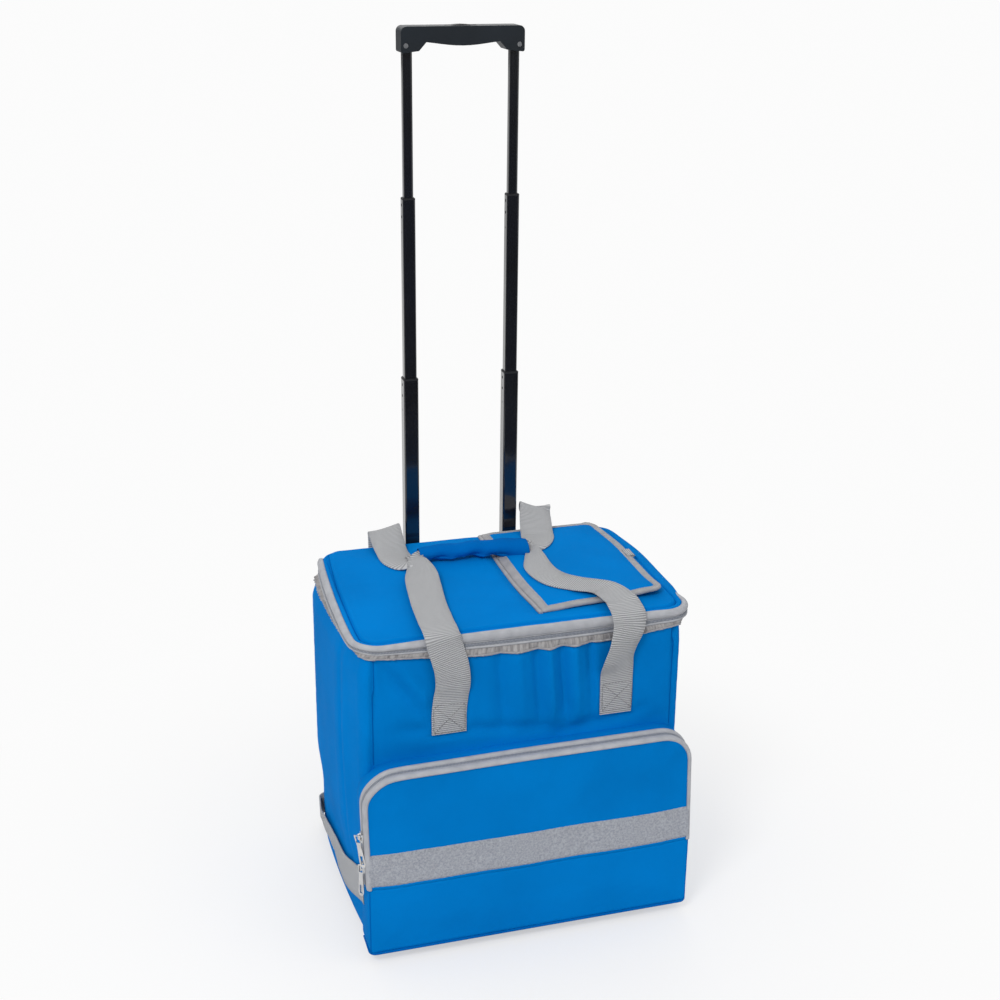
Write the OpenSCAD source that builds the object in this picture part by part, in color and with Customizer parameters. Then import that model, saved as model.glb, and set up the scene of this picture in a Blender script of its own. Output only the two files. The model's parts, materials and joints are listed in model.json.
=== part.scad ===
// Soft insulated cooler bag on a two-wheel trolley frame with a telescopic pull handle.
// Origin: middle of the footprint on the ground. +Z is up, -Y is the pocket side, +X is
// the right-hand side seen from the pocket. Millimetres.

/* [Bag] */
// Half width of the body at the pocket side
body_half_front = 175; // [165:1:185]
// Half width of the body at the handle side
body_half_back = 177; // [165:1:185]
// Depth of the bag body without its pocket
bag_depth = 256; // [240:2:270]
// Distance of the bag's middle behind the origin
bag_offset_y = 6.6; // [6:0.1:7]
// How far each soft side bulges out
side_bulge = 4; // [0:1:6]
// Ground clearance under the bag
clearance = 12; // [10:1:14]
// Height of the body's top rim above the ground
rim_z = 346; // [340:1:350]
// Thickness of the woven outer cloth
cloth_t = 2; // [1:0.5:2]
// Thickness of the insulating foam
foam_t = 8; // [5:1:10]
// Thickness of the welded inner liner
liner_t = 1.5; // [1:0.5:2]

/* [Lid] */
// Half width of the lid at the pocket side
lid_half_front = 184; // [180:1:188]
// Half width of the lid at the handle side
lid_half_back = 176; // [174:1:182]
// Thickness of the padded lid
lid_t = 12; // [10:1:13]
// Corner radius of the lid
lid_corner = 28; // [20:1:34]
// Height of the zip band round the lid
lid_band_h = 13; // [10:1:13]

/* [Quick-access hatch] */
// Left edge of the hatch flap, which is its hinge
hatch_x0 = 16; // [10:1:24]
// Right edge of the hatch flap
hatch_x1 = 168; // [150:1:170]
// Pocket-side edge of the hatch flap
hatch_y0 = -86; // [-95:1:-70]
// Handle-side edge of the hatch flap
hatch_y1 = 124; // [110:1:124]
// Thickness of the padded hatch flap
hatch_t = 3; // [2:0.5:4]
// Width of the binding sewn round the flap
hatch_bind = 9; // [6:1:12]

/* [Front pocket] */
// Half width of the pocket
pocket_half = 181; // [176:1:182]
// Depth of the pocket from the body to its front face
pocket_depth = 36.6; // [30:0.2:40]
// Height of the pocket's top above the ground
pocket_top_z = 228; // [210:1:236]
// Radius of the pocket's two top corners
pocket_corner = 32; // [20:1:40]
// Height at which the zipped front folds down
pocket_fold_z = 93; // [85:1:95]
// Width of the hook-and-loop strip on the pocket
strip_h = 39; // [30:1:44]

/* [Carry straps] */
// Width of the webbing
web_w = 38; // [34:1:40]
// Thickness of the webbing
web_t = 1.8; // [1.4:0.2:2]

/* [Pull handle] */
// Distance between the middles of the two tube stacks
tube_pitch = 118.8; // [110:0.2:124]
// Distance of the tubes' middle behind the bag's back
tube_gap_y = 9.5; // [9.5:0.1:11]
// Width of the fixed outer tube
outer_w = 20.4; // [20.4:0.2:21]
// Thickness of the fixed outer tube
outer_d = 18.8; // [18.8:0.2:19]
// Width of the lower stage
lower_w = 17.2; // [17:0.1:17.4]
// Thickness of the lower stage
lower_d = 15.6; // [15.4:0.1:15.8]
// Width of the middle stage
middle_w = 14.4; // [14.2:0.1:14.6]
// Thickness of the middle stage
middle_d = 12; // [11.8:0.1:12.2]
// Width of the upper stage
upper_w = 10.8; // [10.6:0.1:11]
// Thickness of the upper stage
upper_d = 9.2; // [9:0.1:9.4]
// Top of the lower stage when it is pulled out
lower_top_z = 559; // [540:1:562]
// Top of the middle stage when it is pulled out
middle_top_z = 763; // [740:1:766]
// Underside of the grip when it is pulled out
grip_z = 916; // [900:1:918]
// Length of each grip across the tubes
grip_w = 136; // [132:1:140]
// Depth of the grip
grip_d = 24; // [23:1:26]
// Height of the grip's end blocks
grip_h = 27; // [25:1:30]

/* [Wheels] */
// Radius of each wheel over its tyre
wheel_r = 32; // [31:0.5:32]
// Width of each wheel
wheel_w = 22; // [20:1:24]
// Distance of each wheel's middle from the middle plane
wheel_x = 130; // [128:1:131]
// Diameter of the steel axle
axle_d = 6; // [5:0.5:6]

/* [Hidden] */
$fn = 48;

blue = [0.02, 0.44, 0.76];
dark_blue = [0.01, 0.33, 0.62];
grey = [0.68, 0.69, 0.70];
tape_grey = [0.70, 0.74, 0.76];
black = [0.07, 0.08, 0.10];
steel = [0.72, 0.73, 0.75];
silver = [0.85, 0.86, 0.88];

fit = 0.05;    // running fit round shafts and sliding tubes
gap = 0.3;     // air between pieces that move past each other

front_y = bag_offset_y - bag_depth / 2;
back_y = bag_offset_y + bag_depth / 2;
pocket_y = front_y - pocket_depth;
lid_z = rim_z + 1.5 + lid_t;
wall_t = cloth_t + foam_t + liner_t;
tube_y = back_y + tube_gap_y;
tube_x = tube_pitch / 2;
lid_front_y = front_y - 2;
seam_r = 12;             // the side panels turn round the corners with this radius

// wheel carrier at the bag's lower back edge
tray_half = 150;
tray_front_y = 80;
tray_top_z = 72;
tray_back_y = 156.5;
tray_t = 3;
axle_y = 127.5;
axle_z = wheel_r;
well_r = wheel_r + 4.5;
well_half = wheel_w / 2 + 4;

// ---------------------------------------------------------------- shared geometry

function unit(v) = v / norm(v);
function lerp(a, b, s) = a + (b - a) * s;

// Quarter arc, counter-clockwise from angle a0, round [cx, cy]
function arc(cx, cy, r, a0, n = 6) =
    [for (k = [0:n]) [cx + r * cos(a0 + 90 * k / n), cy + r * sin(a0 + 90 * k / n)]];

// Right-hand side of a rounded outline, from its front seam round to its back seam. Each end
// has its own half width, and the side between them bulges out
function side_path(half_front, half_back, y0, y1, r, bulge = 0, n = 6) = let (m = 8) concat(
    arc(half_front - r, y0 + r, r, -90, n),
    [for (k = [1:m - 1]) let (s = k / m)
        [lerp(half_front, half_back, s) + bulge * 4 * s * (1 - s), lerp(y0 + r, y1 - r, s)]],
    arc(half_back - r, y1 - r, r, 0, n));

function reversed(p) = [for (i = [len(p) - 1:-1:0]) p[i]];
function mirrored(p) = [for (q = reversed(p)) [-q[0], q[1]]];

function plan(half_front, half_back, y0, y1, r, bulge = 0, n = 6) =
    let (p = side_path(half_front, half_back, y0, y1, r, bulge, n)) concat(p, mirrored(p));

function body_side(inset) = side_path(body_half_front - inset, body_half_back - inset,
    front_y + inset, back_y - inset, max(seam_r - inset, 1), side_bulge);
function body_plan(inset) = let (p = body_side(inset)) concat(p, mirrored(p));

function lid_plan(inset) = plan(lid_half_front - inset, lid_half_back - inset,
    lid_front_y + inset, back_y - inset, lid_corner - inset, 3);

// Outline of the pocket's front face in X and Z, with round top corners
function pocket_outline(inset) = let (h = pocket_half - inset, r = pocket_corner - inset,
        z0 = clearance + inset, z1 = pocket_top_z - inset) concat(
    arc(-h + 6, z0 + 6, 6, 180, 3), arc(h - 6, z0 + 6, 6, 270, 3),
    arc(h - r, z1 - r, r, 0, 8), arc(-h + r, z1 - r, r, 90, 8));

// Extrudes an XZ outline along Y from y0 to y1
module along_y(y0, y1) {
    translate([0, y1, 0]) rotate([90, 0, 0]) linear_extrude(y1 - y0) children();
}

module along_x(x0, x1) {
    translate([x0, 0, 0]) rotate([90, 0, 90]) linear_extrude(x1 - x0) children();
}

module up(z0, z1) {
    translate([0, 0, z0]) linear_extrude(z1 - z0) children();
}

module ring2d(outer, inner) {
    difference() {
        polygon(outer);
        polygon(inner);
    }
}

module box(x0, x1, y0, y1, z0, z1) {
    translate([x0, y0, z0]) cube([x1 - x0, y1 - y0, z1 - z0]);
}

module both_sides() {
    children();
    mirror([1, 0, 0]) children();
}

// Solid through a list of rings with the same number of points, counter-clockwise about
// the direction in which the rings follow each other
module skin(rings) {
    m = len(rings[0]);
    n = len(rings);
    polyhedron(
        points = [for (r = rings) for (p = r) p],
        faces = concat(
            [[for (i = [0:m - 1]) i]],
            [for (j = [0:n - 2]) for (i = [0:m - 1]) let (k = (i + 1) % m)
                [j * m + i, (j + 1) * m + i, (j + 1) * m + k]],
            [for (j = [0:n - 2]) for (i = [0:m - 1]) let (k = (i + 1) % m)
                [j * m + i, (j + 1) * m + k, j * m + k]],
            [[for (i = [m - 1:-1:0]) (n - 1) * m + i]]),
        convexity = 6);
}

// Smooth curve through hand-placed rows of numbers
function spline(a, b, c, d, t) =
    0.5 * (2 * b + (c - a) * t + (2 * a - 5 * b + 4 * c - d) * t * t
        + (3 * b - a - 3 * c + d) * t * t * t);
function curve(p, n) = let (last = len(p) - 1) concat(
    [for (i = [0:last - 1]) for (k = [0:n - 1])
        spline(p[max(i - 1, 0)], p[i], p[i + 1], p[min(i + 2, last)], k / n)],
    [p[last]]);

// Flat strap along rows [x, y, z, direction of its width (3), width]
function place(row) = [row[0], row[1], row[2]];
function across(row) = unit([row[3], row[4], row[5]]);
module ribbon(rows, thick, n = 5) {
    c = curve(rows, n);
    last = len(c) - 1;
    skin([for (i = [0:last]) let (
        t = unit(place(c[min(i + 1, last)]) - place(c[max(i - 1, 0)])),
        w0 = across(c[i]),
        w = unit(w0 - t * (w0 * t)),
        nrm = cross(t, w),
        h = c[i][6] / 2, e = thick / 2, p = place(c[i]))
        [p - w * h - nrm * e, p + w * h - nrm * e, p + w * h + nrm * e, p - w * h + nrm * e]]);
}

// ---------------------------------------------------------------- bag body

// Space taken out of the bag by the wheel carrier, grown by g
module tray_space(g = 0) {
    box(-tray_half - g, tray_half + g, tray_front_y - g, back_y + 5, 0, tray_top_z + g);
}

module front_panel() {
    half = body_half_front - seam_r;
    color(blue) box(-half, half, front_y, front_y + cloth_t, clearance, rim_z);
}

module back_panel() {
    half = body_half_back - seam_r;
    color(blue) difference() {
        box(-half, half, back_y - cloth_t, back_y, clearance, rim_z);
        tray_space();
    }
}

// Each side panel is sewn to the front and back panels past the corners
module side_panel(side) {
    color(blue) mirror([side < 0 ? 1 : 0, 0, 0]) up(clearance, rim_z)
        polygon(concat(body_side(0), reversed(body_side(cloth_t))));
}

module bottom_panel() {
    color(dark_blue) difference() {
        up(clearance, clearance + cloth_t) polygon(body_plan(cloth_t));
        tray_space();
    }
}

// Inner block of the bag with the raised step over the wheel carrier
module cavity(inset, z0, z1) {
    difference() {
        up(z0, z1) polygon(body_plan(inset));
        tray_space(inset);
    }
}

module foam_boards() {
    color("white") difference() {
        cavity(cloth_t, clearance + cloth_t + 3, rim_z - 1);
        tray_space(3);
        cavity(cloth_t + foam_t, clearance + cloth_t + 3 + foam_t, rim_z);
    }
}

module inner_liner() {
    color(silver) difference() {
        cavity(cloth_t + foam_t, clearance + cloth_t + 3 + foam_t, rim_z - 1);
        cavity(wall_t, clearance + cloth_t + 3 + foam_t + liner_t, rim_z);
    }
}

// Bent plastic sheet that stiffens the floor and carries the frame's screws
module base_board() {
    board_t = 3;
    z0 = clearance + cloth_t;
    color(black) difference() {
        union() {
            intersection() {
                up(z0, z0 + board_t) polygon(body_plan(cloth_t));
                box(-200, 200, front_y, tray_front_y, 0, 100);
            }
            box(-tray_half, tray_half, tray_front_y - board_t, tray_front_y,
                z0, tray_top_z + board_t);
            box(-tray_half, tray_half, tray_front_y - board_t, back_y - cloth_t,
                tray_top_z, tray_top_z + board_t);
        }
        for (p = screw_places()) translate([p[0], p[1], tray_top_z - 1])
            cylinder(d = 4, h = board_t + 2);
    }
}

// Grey gathered band and the lower half of the main zip, on the front and both sides
module rim_band() {
    color(grey) difference() {
        union() {
            up(rim_z - 18, rim_z - 6) ring2d(body_plan(-1.2), body_plan(0));
            up(rim_z - 6, rim_z - 0.3) ring2d(body_plan(-2.2), body_plan(0));
        }
        box(-200, 200, back_y - 16, back_y + 6, 0, rim_z + 5);
    }
}

module bottom_piping() {
    half = pocket_half - 8;
    color(dark_blue) translate([-half, pocket_y, clearance]) rotate([0, 90, 0])
        cylinder(r = 1.6, h = 2 * half);
}

// ---------------------------------------------------------------- wheel carrier

function screw_places() = [[-95, 100], [-30, 100], [30, 100], [95, 100]];

module tray_section(inset) {
    polygon([
        [tray_front_y + inset, clearance + (inset > 0 ? -1 : 0)],
        [144 - inset, clearance + (inset > 0 ? -1 : 0)],
        [tray_back_y - inset, 30],
        [tray_back_y - inset, tray_top_z - 8 - inset],
        [tray_back_y - 8 - inset * 0.4, tray_top_z - inset],
        [tray_front_y + inset, tray_top_z - inset]]);
}

// Open-bottomed moulding: walls, wheel wells with axle bosses, tube sockets and ribs
module base_tray() {
    color(black) difference() {
        union() {
            difference() {
                along_x(-tray_half, tray_half) tray_section(0);
                along_x(-tray_half + tray_t, tray_half - tray_t) tray_section(tray_t);
            }
            intersection() {
                along_x(-tray_half, tray_half) tray_section(0);
                union() {
                    for (x = [-80, -42, 0, 42, 80])
                        box(x - 1.2, x + 1.2, tray_front_y, tray_back_y, clearance, tray_top_z);
                    box(-108, 108, 118, 120.4, clearance + 8, tray_top_z);
                    both_sides() for (x = [wheel_x - well_half, wheel_x + well_half])
                        box(x - 1.5, x + 1.5, tray_front_y, tray_back_y, clearance, tray_top_z);
                    both_sides() box(tube_x - outer_w / 2 - 3, tube_x + outer_w / 2 + 3,
                        tube_y - outer_d / 2 - 3, tray_back_y, 37, tray_top_z);
                    for (p = screw_places()) translate([p[0], p[1], 52])
                        cylinder(r = 6, h = tray_top_z - 52);
                }
            }
            both_sides() for (x = [wheel_x - well_half - 1.5, wheel_x + well_half - 3.5])
                translate([x, axle_y, axle_z]) rotate([0, 90, 0]) cylinder(r = 9, h = 5);
        }
        both_sides() {
            translate([wheel_x - well_half + 1.5, axle_y, axle_z]) rotate([0, 90, 0])
                wheel_room();
            box(tube_x - outer_w / 2, tube_x + outer_w / 2,
                tube_y - outer_d / 2, tube_y + outer_d / 2, 40, tray_top_z + 1);
        }
        translate([-tray_half - 5, axle_y, axle_z]) rotate([0, 90, 0])
            cylinder(d = axle_d, h = 2 * tray_half + 10);
        for (p = screw_places()) translate([p[0], p[1], 40]) cylinder(d = 4, h = 40);
    }
}

// Room for one wheel, leaving the axle bosses on both sides
module wheel_room() {
    boss = 2;
    difference() {
        cylinder(r = well_r, h = 2 * well_half - 3);
        translate([0, 0, -1]) cylinder(r = 9, h = boss + 1);
        translate([0, 0, 2 * well_half - 3 - boss]) cylinder(r = 9, h = boss + 1);
    }
}

module tray_screws() {
    color(steel) for (p = screw_places()) translate([p[0], p[1], 0]) difference() {
        union() {
            translate([0, 0, 49.4]) cylinder(d1 = 6, d2 = 8, h = 0.8);
            translate([0, 0, 50.2]) cylinder(d = 8, h = 1.8);
            translate([0, 0, 52]) cylinder(d = 4, h = tray_top_z + 3 - 52);
        }
        for (a = [0, 90]) rotate([0, 0, a]) box(-2, 2, -0.5, 0.5, 49, 50.8);
    }
}

module axle() {
    half = tray_half + 1.5;
    color(steel) translate([0, axle_y, axle_z]) rotate([0, 90, 0]) {
        translate([0, 0, -half]) cylinder(d = axle_d, h = 2 * half);
        for (s = [-half, half - 1.2]) translate([0, 0, s]) cylinder(d = axle_d + 4, h = 1.2);
    }
}

module front_feet() {
    color(black) both_sides() translate([125, -88, 0]) {
        cylinder(r1 = 10, r2 = 12, h = 3);
        translate([0, 0, 3]) cylinder(r = 12, h = clearance - 3);
    }
}

module wheel_place(side) {
    translate([side * wheel_x, axle_y, axle_z]) rotate([0, 90, 0]) children();
}

// Moulded hub with a rim, a bored boss and ribbed web
module wheel_hub(side) {
    rim_r = wheel_r - 6;
    w = wheel_w;
    color(black) wheel_place(side) difference() {
        union() {
            rotate_extrude() polygon([
                [6, -w / 2], [8, -w / 2], [8, -3], [rim_r - 4, -3], [rim_r - 3, -w / 2 + 1],
                [rim_r, -w / 2 + 1], [rim_r, w / 2 - 1], [rim_r - 3, w / 2 - 1],
                [rim_r - 4, 3], [8, 3], [8, w / 2], [6, w / 2]]);
            cylinder(r = 6.5, h = w, center = true);
            for (a = [0:60:300]) rotate([0, 0, a])
                translate([7, -1.2, -w / 2 + 2]) cube([rim_r - 10, 2.4, w - 4]);
        }
        cylinder(d = axle_d + 2 * fit, h = w + 2, center = true);
        for (a = [30:60:330]) rotate([0, 0, a]) translate([14.5, 0, 0])
            cylinder(r = 3.6, h = w, center = true);
    }
}

module tyre(side) {
    r0 = wheel_r - 6;
    h = wheel_w / 2 - 1;
    color([0.12, 0.12, 0.13]) wheel_place(side) rotate_extrude() polygon(concat(
        [[r0, -h], [wheel_r - 2.5, -h]],
        [for (a = [-60:20:60]) [wheel_r - 2.5 + 2.5 * cos(a), h * sin(a) / sin(70)]],
        [[wheel_r - 2.5, h], [r0, h]]));
}

// ---------------------------------------------------------------- telescopic handle

// Rounded rectangle w by d
module tube2d(w, d, r) {
    polygon(concat(
        arc(w / 2 - r, -d / 2 + r, r, -90, 4), arc(w / 2 - r, d / 2 - r, r, 0, 4),
        arc(-w / 2 + r, d / 2 - r, r, 90, 4), arc(-w / 2 + r, -d / 2 + r, r, 180, 4)));
}

module tube_pair(w, d, wall, z0, z1, holes = []) {
    color(black) both_sides() translate([tube_x, tube_y, 0]) difference() {
        up(z0, z1) difference() {
            tube2d(w, d, 2);
            tube2d(w - 2 * wall, d - 2 * wall, 1);
        }
        for (h = holes) translate([-w, 0, z1 - h[0]]) rotate([0, 90, 0])
            cylinder(d = h[1], h = 2 * w);
    }
}

outer_top_z = 342;
lower_len = 280;
middle_len = 260;
outer_wall = 1.2;
lower_wall = 1;
middle_wall = 1;
upper_wall = 0.9;
lip_h = 2;               // visible height of each moulded guide
side_holes = [[6, 3.4], [19, 3.4], [36, 1.8]];   // distance below the tube's end, diameter

// Moulded guide: a lip on the tube's end and a sleeve inside it
module collar_pair(w, d, wall, inner_w, inner_d, top) {
    sleeve_h = 26;
    bevel = 0.6;
    color([0.05, 0.05, 0.06]) both_sides() translate([tube_x, tube_y, 0]) difference() {
        union() {
            up(top - lip_h, top - bevel) tube2d(w, d, 2);
            up(top - bevel, top) tube2d(w - 2 * bevel, d - 2 * bevel, 1.6);
            up(top - sleeve_h, top - lip_h) tube2d(w - 2 * wall, d - 2 * wall, 1);
        }
        up(top - sleeve_h - 1, top + 1) tube2d(inner_w + 2 * fit, inner_d + 2 * fit, 2);
    }
}

// Moulded end plug at the foot of a sliding tube, with its lock pin
module plug_pair(w, d, wall, bore_w, bore_d, foot) {
    color([0.05, 0.05, 0.06]) both_sides() translate([tube_x, tube_y, 0]) difference() {
        union() {
            up(foot, foot + 10) tube2d(w - 2 * wall, d - 2 * wall, 1);
            up(foot - 3, foot) tube2d(bore_w - 2 * gap, bore_d - 2 * gap, 1.5);
        }
        up(foot - 4, foot + 15) square([5, 3], center = true);
    }
}

module outer_tubes() {
    tube_pair(outer_w, outer_d, outer_wall, 40, outer_top_z, side_holes);
}
module outer_collars() {
    collar_pair(outer_w, outer_d, outer_wall, lower_w, lower_d, outer_top_z + lip_h);
}
module lower_tubes() {
    tube_pair(lower_w, lower_d, lower_wall, lower_top_z - lower_len, lower_top_z - lip_h,
        side_holes);
}
module lower_collars() {
    collar_pair(lower_w, lower_d, lower_wall, middle_w, middle_d, lower_top_z);
}
module lower_plugs() {
    plug_pair(lower_w, lower_d, lower_wall, outer_w - 2 * outer_wall,
        outer_d - 2 * outer_wall, lower_top_z - lower_len);
}
module middle_tubes() {
    tube_pair(middle_w, middle_d, middle_wall, middle_top_z - middle_len,
        middle_top_z - lip_h, side_holes);
}
module middle_collars() {
    collar_pair(middle_w, middle_d, middle_wall, upper_w, upper_d, middle_top_z);
}
module middle_plugs() {
    plug_pair(middle_w, middle_d, middle_wall, lower_w - 2 * lower_wall,
        lower_d - 2 * lower_wall, middle_top_z - middle_len);
}
upper_foot_z = grip_z - 220;
module upper_tubes() {
    difference() {
        tube_pair(upper_w, upper_d, upper_wall, upper_foot_z, grip_z + 10);
        both_sides() translate([screw_x, tube_y - upper_d, screw_z]) rotate([-90, 0, 0])
            cylinder(d = screw_d, h = 2 * upper_d);
    }
}
module upper_plugs() {
    plug_pair(upper_w, upper_d, upper_wall, middle_w - 2 * middle_wall,
        middle_d - 2 * middle_wall, upper_foot_z);
}

// Front outline of the grip: blocks over the tubes and a bar that is thickest mid-way
bar_end_h = 15.5;
bar_mid_h = 20;
block_w = 19.5;
function grip_outline(inset) = let (h = grip_w / 2 - inset, t = grip_z + grip_h - inset,
        b = grip_z + inset, r = 6 - inset, x1 = grip_w / 2 - block_w + inset) concat(
    arc(h - r, t - r, r, 0, 5), arc(-h + r, t - r, r, 90, 5),
    arc(-h + 2, b + 2, 2, 180, 2),
    [for (k = [0:12]) let (s = k / 12, x = lerp(-x1, x1, s))
        [x, grip_z + grip_h - bar_end_h + inset
            - (bar_mid_h - bar_end_h) * pow(sin(180 * s), 1.5)
            - (k == 0 || k == 12 ? grip_h - bar_end_h - 2 : 0)]],
    arc(h - 2, b + 2, 2, 270, 2));

button_half = 17;
screw_d = 2.6;           // grip screws, which pass through the tubes beside the push rods
screw_x = tube_x + 3.1;
screw_z = grip_z + 7.5;
module grip_body() {
    difference() {
        along_y(tube_y - grip_d / 2, tube_y + grip_d / 2) polygon(grip_outline(0));
        both_sides() translate([tube_x, tube_y, 0]) up(grip_z - 1, grip_z + 10)
            tube2d(upper_w, upper_d, 2);
        // room for the button, its springs and the cross bar that moves the rods
        box(-button_half - gap, button_half + gap, tube_y - 5 - gap, tube_y + 5 + gap,
            grip_z + grip_h - 6, grip_z + grip_h + 1);
        box(-tube_x - 4, tube_x + 4, tube_y - 5 - gap, tube_y + 5 + gap,
            grip_z + grip_h - 13.4, grip_z + grip_h - 5.6);
        both_sides() translate([tube_x, tube_y, grip_z + 9]) cylinder(d = 4, h = 8);
        both_sides() translate([screw_x, tube_y - grip_d / 2 - 1, screw_z])
            rotate([-90, 0, 0]) {
                cylinder(d = 5.4, h = 3);
                cylinder(d = screw_d, h = grip_d - 3);
            }
    }
}

module grip_half(y0, y1) {
    color([0.13, 0.15, 0.18]) intersection() {
        grip_body();
        box(-100, 100, y0, y1, grip_z - 5, grip_z + grip_h + 5);
    }
}
module grip_front() {
    grip_half(tube_y - grip_d / 2 - 1, tube_y);
}
module grip_rear() {
    grip_half(tube_y, tube_y + grip_d / 2 + 1);
}

module grip_screws() {
    color(steel) both_sides()
        translate([screw_x, tube_y - grip_d / 2 + 0.6, screw_z]) rotate([-90, 0, 0])
            difference() {
                union() {
                    cylinder(d = 5.2, h = 1.4);
                    cylinder(d = screw_d, h = grip_d - 5);
                }
                for (a = [0, 90]) rotate([0, 0, a]) box(-1.6, 1.6, -0.4, 0.4, -1, 0.8);
            }
}

// Button with a crowned top on a cross bar that reaches over both tubes
module release_button() {
    top = grip_z + grip_h;
    color([0.05, 0.05, 0.06]) {
        along_y(tube_y - 5, tube_y + 5) polygon(concat(
            [[-button_half, top - 9], [button_half, top - 9]],
            [for (k = [0:10]) let (s = k / 10)
                [lerp(button_half, -button_half, s), top - 0.6 + 1.8 * sin(180 * s)]]));
        box(-tube_x - 3.5, tube_x + 3.5, tube_y - 3, tube_y + 3, top - 9, top - 6.6);
    }
}

module push_rods() {
    color(steel) both_sides() translate([tube_x, tube_y, 0])
        up(upper_foot_z + 6, grip_z + grip_h - 9) square([2.4, 2.4], center = true);
}

module button_springs() {
    color(steel) both_sides() translate([10, tube_y, 0]) difference() {
        up(grip_z + grip_h - 13.4, grip_z + grip_h - 9.2) circle(d = 5);
        up(grip_z + grip_h - 14, grip_z + grip_h - 9) circle(d = 3.8);
    }
}

// Cloth sleeve on the bag's back over both outer tubes
module back_sleeve() {
    half = tube_x + outer_w / 2 + 3.5;
    y1 = tube_y + outer_d / 2 + 3;
    t = 1.5;
    color(dark_blue) up(tray_top_z + 1, 318) difference() {
        polygon(concat([[-half, back_y], [half, back_y]],
            arc(half - 8, y1 - 8, 8, 0, 5), arc(-half + 8, y1 - 8, 8, 90, 5)));
        polygon(concat([[-half + t, back_y - 1], [half - t, back_y - 1]],
            arc(half - 8, y1 - 8, 8 - t, 0, 5), arc(-half + 8, y1 - 8, 8 - t, 90, 5)));
    }
}

// ---------------------------------------------------------------- lid and hatch

lid_z0 = rim_z + 1.5;
hole_in = 20;           // the lid's opening lies this far inside the flap

module hatch_hole(z0, z1) {
    up(z0, z1) polygon(plan_box(hatch_x0 + hole_in, hatch_x1 - hole_in,
        hatch_y0 + hole_in, hatch_y1 - hole_in - 8, 12));
}
function plan_box(x0, x1, y0, y1, r) = concat(
    arc(x1 - r, y0 + r, r, -90, 4), arc(x1 - r, y1 - r, r, 0, 4),
    arc(x0 + r, y1 - r, r, 90, 4), arc(x0 + r, y0 + r, r, 180, 4));

module lid_panel() {
    color(blue) difference() {
        up(lid_z0 + 1, lid_z) polygon(lid_plan(2));
        hatch_hole(lid_z0, lid_z + 1);
    }
}

module lid_lining() {
    color(silver) difference() {
        up(lid_z0, lid_z0 + 1) polygon(lid_plan(2));
        hatch_hole(lid_z0 - 1, lid_z0 + 2);
    }
}

// Zip tape of the lid with the upper half of the main zip, on the front and both sides
module lid_band() {
    color(tape_grey) difference() {
        union() {
            up(lid_z0 + 3, lid_z - 0.5) ring2d(lid_plan(0), lid_plan(2));
            up(rim_z + 0.3, lid_z0 + 3) ring2d(lid_plan(1), lid_plan(2));
        }
        box(-200, 200, back_y - 30, back_y + 6, 0, lid_z + 5);
    }
}

module lid_piping() {
    color(blue) difference() {
        up(lid_z, lid_z + 1.6) ring2d(lid_plan(3), lid_plan(9));
        box(-200, 200, back_y - 14, back_y + 6, 0, lid_z + 5);
        box(hatch_x0 - 1, hatch_x1 + 1.5, back_y - 48, back_y + 6, 0, lid_z + 5);
    }
}

hatch_z = lid_z + gap;
function flap_plan(i) = plan_box(hatch_x0 + i, hatch_x1 - i, hatch_y0 + i, hatch_y1 - i,
    12 - i / 2);

// The flap's bound left edge is sewn down on the lid, and the flap folds beside that seam
seam_w = 4;
hatch_top = hatch_z + hatch_t + 0.8;
module beside_seam(sewn) {
    split = hatch_x0 + seam_w + (sewn ? 0 : gap);
    intersection() {
        children();
        box(sewn ? 0 : split, sewn ? split : 200, -200, 200, lid_z, hatch_top + 1);
    }
}

module hatch_seam() {
    color(grey) beside_seam(true) up(lid_z, hatch_top) polygon(flap_plan(0));
}

module hatch_flap() {
    color(blue) beside_seam(false) up(hatch_z, hatch_z + hatch_t) polygon(flap_plan(1));
}

// Binding tape round the flap, with the pull tab at its free edge
module hatch_binding() {
    color(grey) beside_seam(false) {
        up(hatch_z + hatch_t, hatch_top) ring2d(flap_plan(0), flap_plan(hatch_bind));
        up(hatch_z, hatch_z + hatch_t) ring2d(flap_plan(0), flap_plan(1));
        box(hatch_x1, hatch_x1 + 4, 8, 30, hatch_z + 0.5, hatch_z + 2);
    }
}

// ---------------------------------------------------------------- front pocket

tape_w = 7;              // visible width of each half of the pocket's zip tape
zip_y = pocket_y + 9;    // line on which the two halves of the zip meet

module below_fold(keep_low) {
    intersection() {
        children();
        if (keep_low) box(-250, 250, -300, 0, 0, pocket_fold_z);
        else box(-250, 250, -300, 0, pocket_fold_z + gap, 400);
    }
}

module pocket_gusset() {
    color(blue) {
        along_y(zip_y + 1.5, front_y) ring2d(pocket_outline(0), pocket_outline(cloth_t));
        along_y(front_y - cloth_t, front_y) ring2d(pocket_outline(cloth_t), pocket_outline(10));
        below_fold(true) along_y(pocket_y + cloth_t, zip_y + 1.5)
            ring2d(pocket_outline(0), pocket_outline(cloth_t));
    }
}

module pocket_lower_front() {
    color(blue) below_fold(true) along_y(pocket_y, pocket_y + cloth_t)
        polygon(pocket_outline(0));
}

module pocket_rear_tape() {
    color(tape_grey) below_fold(false) {
        along_y(zip_y + 1.5, zip_y + 1.5 + tape_w)
            ring2d(pocket_outline(-0.8), pocket_outline(0));
        along_y(zip_y + gap / 2, zip_y + 1.5) ring2d(pocket_outline(-1.4), pocket_outline(1));
    }
}

module pocket_flap() {
    color(blue) below_fold(false) {
        along_y(pocket_y, pocket_y + cloth_t) polygon(pocket_outline(0.5));
        along_y(pocket_y + cloth_t, zip_y - 1.5)
            ring2d(pocket_outline(0.5), pocket_outline(2));
    }
}

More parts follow.
